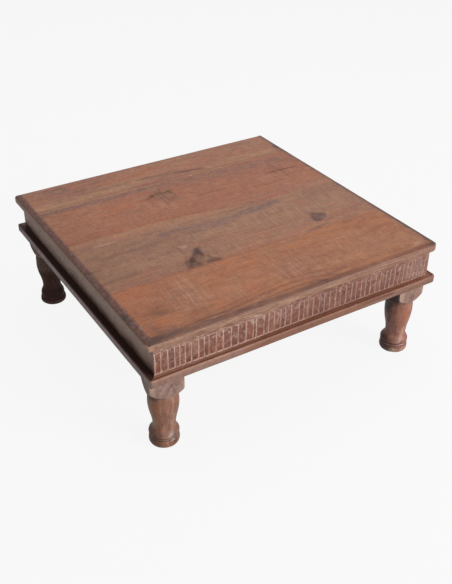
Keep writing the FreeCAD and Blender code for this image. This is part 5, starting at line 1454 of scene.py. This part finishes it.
def paint_plain(phi, Z, step, seed):
    a = np.radians(phi)
    wear_and_highlight = 0.35 * smooth(0.1, 0.7, fbm(np.cos(a) * 2.2, np.sin(a) * 2.2 + Z / 30.0, seed + 20, 3)) * smooth(60, 40, Z)
    deep = 0.45 * smooth(0.0, 0.7, fbm(np.cos(a) * 1.5, np.sin(a) * 1.5 + Z / 60.0, seed + 21, 3))
    warm = 0.5 * smooth(-0.1, 0.6, fbm(np.cos(a) * 1.8 + 3, np.sin(a) * 1.8 + Z / 40.0, seed + 22, 3))
    z = 0.0 * Z
    return (wear_and_highlight, deep, warm), z, z, z


def paint_front_left(phi, Z, step, seed):
    (wear_and_highlight, deep, warm), dent, dirt_and_shade, arris = paint_plain(phi, Z, step, seed)
    keep = smooth(60, 120, np.abs(phi))
    wear_and_highlight, deep, warm = wear_and_highlight * keep, deep * keep, warm * keep
    w = 2.5 * fbm(phi / 25.0, Z / 20.0, seed + 23, 2)
    body = (Z < step).astype(float)
    U = phi + w * 2
    warm = warm + 0.62 * body * mark(U, Z, [(-22, 98), (-20, 70), (-24, 48)], 13, 0.2)
    warm = warm + 0.40 * body * mark(U, Z, [(-46, 96), (-44, 66)], 9, 0.3)
    warm = warm + 0.70 * mark(U, Z, [(-48, 9), (-10, 8), (24, 9), (70, 9)], 5, 0.0)
    # painted shade: the bottom left of the foot, the neck's left just under the head, the left side of the body and the
    # left of the bell are darkened
    deep = deep + 0.40 * smooth(15, 8, Z) * smooth(-20, -60, phi) * smooth(-120, -90, phi)
    deep = deep + 0.75 * body * smooth(100, 110, Z) * smooth(-8, -30, phi) * smooth(-110, -90, phi)
    deep = deep + 0.30 * body * mark(U, Z, [(2, 104), (6, 80), (10, 52)], 4.5, 0.2)
    deep = deep + 0.42 * body * smooth(-62, -80, phi) * smooth(-150, -100, phi)
    deep = deep + 0.30 * body * smooth(37, 29, Z) * smooth(20, -30, phi) * smooth(-150, -100, phi)
    deep = deep + 0.28 * body * mark(U, Z, [(58, 84), (60, 60)], 5, 0.3)
    deep = deep + 0.46 * body * smooth(38, 31, Z) * smooth(30, 50, phi)
    deep = deep + (0.30 + 0.10 * smooth(10, 40, phi)) * body * smooth(40, 30, Z) * smooth(70, 50, np.abs(phi))
    deep = deep + 0.16 * body * smooth(12, 40, phi) * smooth(36, 46, Z)
    # the pale spot on the bell is a painted highlight
    wear_and_highlight = wear_and_highlight + 0.42 * body * spot(U, Z, 25, 26.0, 11, 3.4) + 0.25 * body * spot(U, Z, 42, 104, 10, 6)
    wear_and_highlight = wear_and_highlight + 0.55 * body * smooth(58, 48, Z) * smooth(34, 42, Z) * smooth(70, 40, np.abs(phi + 12)) * smooth(-0.1, 0.6, fbm(phi / 7.0, Z / 9.0, seed + 24, 2))
    wear_and_highlight = wear_and_highlight + 0.22 * body * mark(U, Z, [(46, 76), (52, 50), (44, 40)], 16, 0.2)
    # painted highlights: a streak just under the head and two spots on the base ring
    wear_and_highlight = wear_and_highlight + 0.34 * body * spot(U, Z, 34, 111, 22, 2.4)
    wear_and_highlight = wear_and_highlight + 0.4 * spot(U, Z, 22, 7.0, 8, 2.2) + 0.35 * spot(U, Z, 19, 13.0, 3.5, 3.5)
    crack = mark(phi + 3.0 * fbm(Z / 5.0, 1.0, seed + 25, 2), Z, [(25, 0.5), (27, 8), (25, 21)], 1.9, 0.0)
    dirt_and_shade = dirt_and_shade + 0.95 * crack
    dent = dent + 0.45 * crack
    # the block: scuffs and dents
    blk = (Z > step).astype(float)
    d1 = blk * mark(phi, Z, [(22, 152), (30, 154), (38, 155)], 2.6, 0.2)
    d2 = blk * mark(phi, Z, [(42, 143), (45, 139)], 2.4, 0.2)
    d3 = blk * mark(phi, Z, [(30, 140), (40, 134)], 1.4, 0.3)
    deep = deep + 0.75 * d1 + 0.8 * d2 + 0.35 * blk * spot(phi, Z, 52, 128, 6, 10) + 0.4 * d3 + 0.10 * blk
    dent = dent + 0.5 * d1 + 0.5 * d2
    wear_and_highlight = wear_and_highlight + 0.40 * blk * mark(phi, Z, [(10, 125), (22, 138), (34, 148)], 2.0, 0.4)
    wear_and_highlight = wear_and_highlight + 0.45 * blk * mark(phi, Z, [(-6, 118), (-6, 150)], 3.6, 0.2)
    warm = warm + 0.30 * blk * spot(phi, Z, 12, 146, 9, 8) + 0.55 * blk * mark(phi, Z, [(50, 124), (54, 134)], 2.4, 0.3)
    deep = deep + 0.30 * blk * mark(phi, Z, [(2, 116), (2, 134)], 1.6, 0.3)
    # the left face, darkened as painted shade but rubbed next to the corner
    deep = deep + 0.30 * blk * smooth(-20, -26, phi) * smooth(-120, -90, phi)
    wear_and_highlight = wear_and_highlight + 0.55 * blk * smooth(-24, -14, phi) * smooth(-6, -13, phi) * smooth(124, 134, Z)
    return (wear_and_highlight, deep, warm), dent, dirt_and_shade, arris


def paint_front_right(phi, Z, step, seed):
    (wear_and_highlight, deep, warm), dent, dirt_and_shade, arris = paint_plain(phi, Z, step, seed)
    keep = smooth(60, 120, np.abs(phi))
    wear_and_highlight, deep, warm = wear_and_highlight * keep, deep * keep, warm * keep
    body = (Z < step).astype(float)
    # painted shade on the head's left face
    deep = deep + 0.35 * (1 - body) * smooth(-52, -66, phi) * smooth(-150, -130, phi)
    U = phi + 4.0 * fbm(phi / 25.0, Z / 20.0, seed + 23, 2)
    # phi here is turned 14 degrees to the view: its own front stands near -14
    # painted shade: the body's upper left under the head, its left side, the left of the bell and the bottom left of
    # the foot are darkened
    deep = deep + 0.85 * body * smooth(-46, -60, U) * smooth(84, 100, Z)
    deep = deep + 0.75 * body * mark(U, Z, [(-44, 114), (-52, 92), (-56, 72)], 9, 0.2)
    deep = deep + 0.55 * body * smooth(104, 113, Z) * smooth(-4, -24, U)
    deep = deep + 0.22 * body * smooth(-56, -70, U)
    deep = deep + 0.55 * body * smooth(34, 27, Z) * smooth(10, -40, phi) * smooth(-120, -90, phi)
    deep = deep + 0.35 * body * smooth(17, 8, Z) * smooth(20, 0, phi) * smooth(-120, -90, phi)
    warm = warm + 0.55 * body * mark(U, Z, [(24, 100), (28, 72), (20, 56)], 13, 0.2)
    warm = warm + 0.25 * body * mark(U, Z, [(-8, 98), (-8, 80)], 8, 0.2)
    wear_and_highlight = wear_and_highlight + 0.30 * body * smooth(60, 48, Z) * smooth(30, 40, Z) * smooth(66, 44, np.abs(phi - 4)) * smooth(-0.1, 0.6, fbm(phi / 7.0, Z / 8.0, seed + 24, 2))
    wear_and_highlight = wear_and_highlight + 0.30 * body * mark(U, Z, [(34, 56), (30, 44)], 12, 0.2)
    # painted highlights on the bead and on the bell
    wear_and_highlight = wear_and_highlight + 0.35 * body * spot(U, Z, -40, 17.0, 20, 1.4) + 0.50 * body * spot(U, Z, 12, 24.5, 9, 3.0)
    deep = deep + 0.16 * body * smooth(34, 28, Z) * smooth(8, 14, Z)
    flat = spot(phi, Z, -10, 5.0, 20, 6.0, 0, 4.0)
    wear_and_highlight = wear_and_highlight + 0.85 * flat
    dent = dent + 0.8 * flat
    wear_and_highlight = wear_and_highlight + 0.35 * spot(phi, Z, 26, 7, 12, 4)
    blk = (Z > step).astype(float)
    # the head's left face is darkened further as painted shade
    left = blk * smooth(-12.5, -14.5, phi) * smooth(-130, -100, phi)
    deep = deep + 0.95 * left + 0.24 * blk
    dirt_and_shade = dirt_and_shade + 0.80 * left
    wear_and_highlight = wear_and_highlight + 0.40 * blk * smooth(-14, -12, phi) * smooth(0, -6, phi) + 0.30 * blk * mark(phi, Z, [(0, 120), (0, 150)], 2.6, 0.2)
    warm = warm + 0.30 * blk * smooth(-14, -8, phi) * smooth(4, -2, phi)
    deep = deep + 0.32 * blk * mark(phi, Z, [(6, 120), (8, 150)], 2.0, 0.2) + 0.30 * blk * spot(phi, Z, 30, 134, 8, 10)
    wear_and_highlight = wear_and_highlight + 0.25 * blk * mark(phi, Z, [(20, 128), (34, 150)], 2.4, 0.4)
    return (wear_and_highlight, deep, warm), dent, dirt_and_shade, arris


def paint_back_left(phi, Z, step, seed):
    (wear_and_highlight, deep, warm), dent, dirt_and_shade, arris = paint_plain(phi, Z, step, seed)
    # the lower leg is darkened towards the floor: painted shade under the table
    deep = deep * 0.35 + 0.9 * (Z < step) * smooth(66, 30, Z)
    dirt_and_shade = dirt_and_shade + 0.9 * (Z < step) * smooth(66, 18, Z)
    wear_and_highlight = wear_and_highlight * 0.3 + 0.20 * (Z < step) * smooth(70, 95, Z)
    return (wear_and_highlight, deep, warm * 0.3), dent, dirt_and_shade, arris


LEG_M = leg_material("leg_wood_front_left", lin(150, 100, 80), lin(168, 120, 96), lin(104, 64, 52), lin(190, 154, 136),
                     lin(160, 128, 117), lin(182, 149, 138), 11.0)
LEG_M2 = leg_material("leg_wood_front_right", lin(150, 98, 84), lin(166, 114, 96), lin(104, 62, 54), lin(186, 148, 132),
                      lin(158, 120, 108), lin(178, 141, 128), 12.0, streaks=0.7)
# the back left leg's colours are far darker than the others: painted shade under the table
LEG_M3 = leg_material("leg_wood_back_left", lin(62, 36, 28), lin(78, 48, 36), lin(32, 18, 16), lin(96, 66, 52),
                      lin(110, 92, 88), lin(130, 112, 108), 13.0, rough=(0.45, 0.6), spec=0.15)
LEG_M4 = leg_material("leg_wood_back_right", lin(130, 82, 64), lin(150, 102, 80), lin(84, 50, 40), lin(176, 138, 118),
                      lin(150, 118, 106), lin(170, 138, 124), 14.0)
make_leg("leg_front_left", -1, -1, TURN, (16.4, 22.0), 114.0, 30.0, 101, LEG_M, paint_front_left, 1.2, 11.0)
make_leg("leg_front_right", 1, -1, TURN_FR, (14.2, 19.0), 117.0, 29.3, 121, LEG_M2, paint_front_right, 1.4)
make_leg("leg_back_left", -1, 1, TURN_BL, (14.4,), 117.0, 28.0, 141, LEG_M3, paint_back_left)
make_leg("leg_back_right", 1, 1, TURN_BR, (16.4, 22.0), 114.0, 28.0, 161, LEG_M4, paint_plain)


# ------------------------------------------------------------------ underside timber and fastenings
def dress(node, mat):
    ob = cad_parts[node]
    ob.data.materials.clear()
    ob.data.materials.append(mat)


def metal(name, base, rust, rough):
    n = Net(name)
    o = n.obj()
    a = n.noise(n.scale(o, (900, 900, 900)), 1.0, 4, 0.6)
    b = n.noise(n.scale(o, (300, 300, 300)), 1.0, 3, 0.6)
    col = n.mix(n.rng(b, 0.42, 0.62), base, rust)
    col = n.mix(n.rng(a, 0.5, 0.7, 0.0, 0.5), col, tuple(v * 0.4 for v in base[:3]) + (1,))
    return n.finish(col, n.rng(a, 0.3, 0.7, rough, rough + 0.25), n.bump(a, 0.3, 0.0002), spec=0.5, metal=0.8)


ROUGH_X = plain_wood("cleat_wood_x", lin(118, 86, 66), lin(136, 102, 78), lin(82, 56, 42), "x", (0.6, 0.8), 0.3, 21.0, bump=0.6)
ROUGH_Y = plain_wood("cleat_wood_y", lin(118, 86, 66), lin(136, 102, 78), lin(82, 56, 42), "y", (0.6, 0.8), 0.3, 22.0, bump=0.6)
for nd in ("cleat_front", "cleat_back"):
    dress(nd, ROUGH_X)
for nd in ("cleat_left", "cleat_right", "batten_left", "batten_right"):
    dress(nd, ROUGH_Y)
dress("top_dowels", plain_wood("dowel_wood", lin(170, 130, 90), lin(184, 146, 104), lin(130, 94, 62), "y", (0.55, 0.7), 0.3, 23.0))
SCREW = metal("screw_steel", lin(120, 112, 104), lin(92, 66, 50), 0.35)
dress("batten_screws", SCREW)
dress("cleat_screws", SCREW)
dress("base_nails", metal("nail_iron", lin(70, 62, 56), lin(84, 50, 34), 0.45))


# ------------------------------------------------------------------ floor, light, camera
def stage():
    me = bpy.data.meshes.new("floor")
    s = 30.0
    me.from_pydata([(-s, -s, 0), (s, -s, 0), (s, s, 0), (-s, s, 0)], [], [(0, 1, 2, 3)])
    n = Net("floor_paint")
    o = n.obj()
    speck = n.noise(n.scale(o, (3, 3, 3)), 1.0, 2, 0.5)
    col = n.mix(speck, (0.04, 0.04, 0.04, 1), (0.042, 0.042, 0.042, 1))
    n.finish(col, 0.9, None, spec=0.0)
    n.bsdf.inputs["Emission Color"].default_value = (1, 1, 1, 1)
    n.bsdf.inputs["Emission Strength"].default_value = 0.898
    me.materials.append(n.mat)
    ob = bpy.data.objects.new("floor", me)
    bpy.context.scene.collection.objects.link(ob)
    ob.visible_diffuse = False
    ob.visible_glossy = False


def area(name, loc, target, size, power, color=(1, 1, 1)):
    d = bpy.data.lights.new(name, "AREA")
    d.shape = "RECTANGLE"
    d.size, d.size_y = size
    d.energy = power
    d.color = color
    ob = bpy.data.objects.new(name, d)
    ob.location = loc
    ob.rotation_euler = (Vector(target) - Vector(loc)).to_track_quat("-Z", "Y").to_euler()
    bpy.context.scene.collection.objects.link(ob)
    return ob


stage()
area("key", (1.6, -2.8, 1.8), (0, 0, 0.15), (1.6, 1.4), 101)
area("low", (0.35, -1.75, 0.34), (0.0, -0.2, 0.08), (0.9, 0.45), 3.0)
area("over", (0.3, 0.4, 2.8), (0, 0, 0.2), (2.4, 2.4), 36)

world = bpy.data.worlds.new("studio")
bpy.context.scene.world = world
world.use_nodes = True
wt = world.node_tree
bg = next(x for x in wt.nodes if x.type == "BACKGROUND")
bg.inputs["Color"].default_value = (1.0, 1.0, 1.0, 1)
bg.inputs["Strength"].default_value = 0.36

cam_data = bpy.data.cameras.new("camera")
cam_data.sensor_fit = "VERTICAL"
cam_data.sensor_height = 36.0
cam_data.sensor_width = 36.0
cam_data.lens = 835.765 * 36.0 / 584.0
cam_data.clip_end = 200.0
cam = bpy.data.objects.new("camera", cam_data)
right = Vector((0.85196493, -0.52359402, 0.00224857))
up = Vector((0.28785201, 0.47195641, 0.83330568))
look = Vector((0.4373751, 0.70929996, -0.5528079))
R = Matrix((right, up, -look)).transposed().to_4x4()
cam.matrix_world = Matrix.Translation((-0.736823, -1.231237, 1.023946)) @ R
bpy.context.scene.collection.objects.link(cam)
bpy.context.scene.camera = cam

sc = bpy.context.scene
sc.view_settings.view_transform = "Standard"
sc.view_settings.look = "None"
sc.view_settings.exposure = 0.0
sc.view_settings.gamma = 1.0
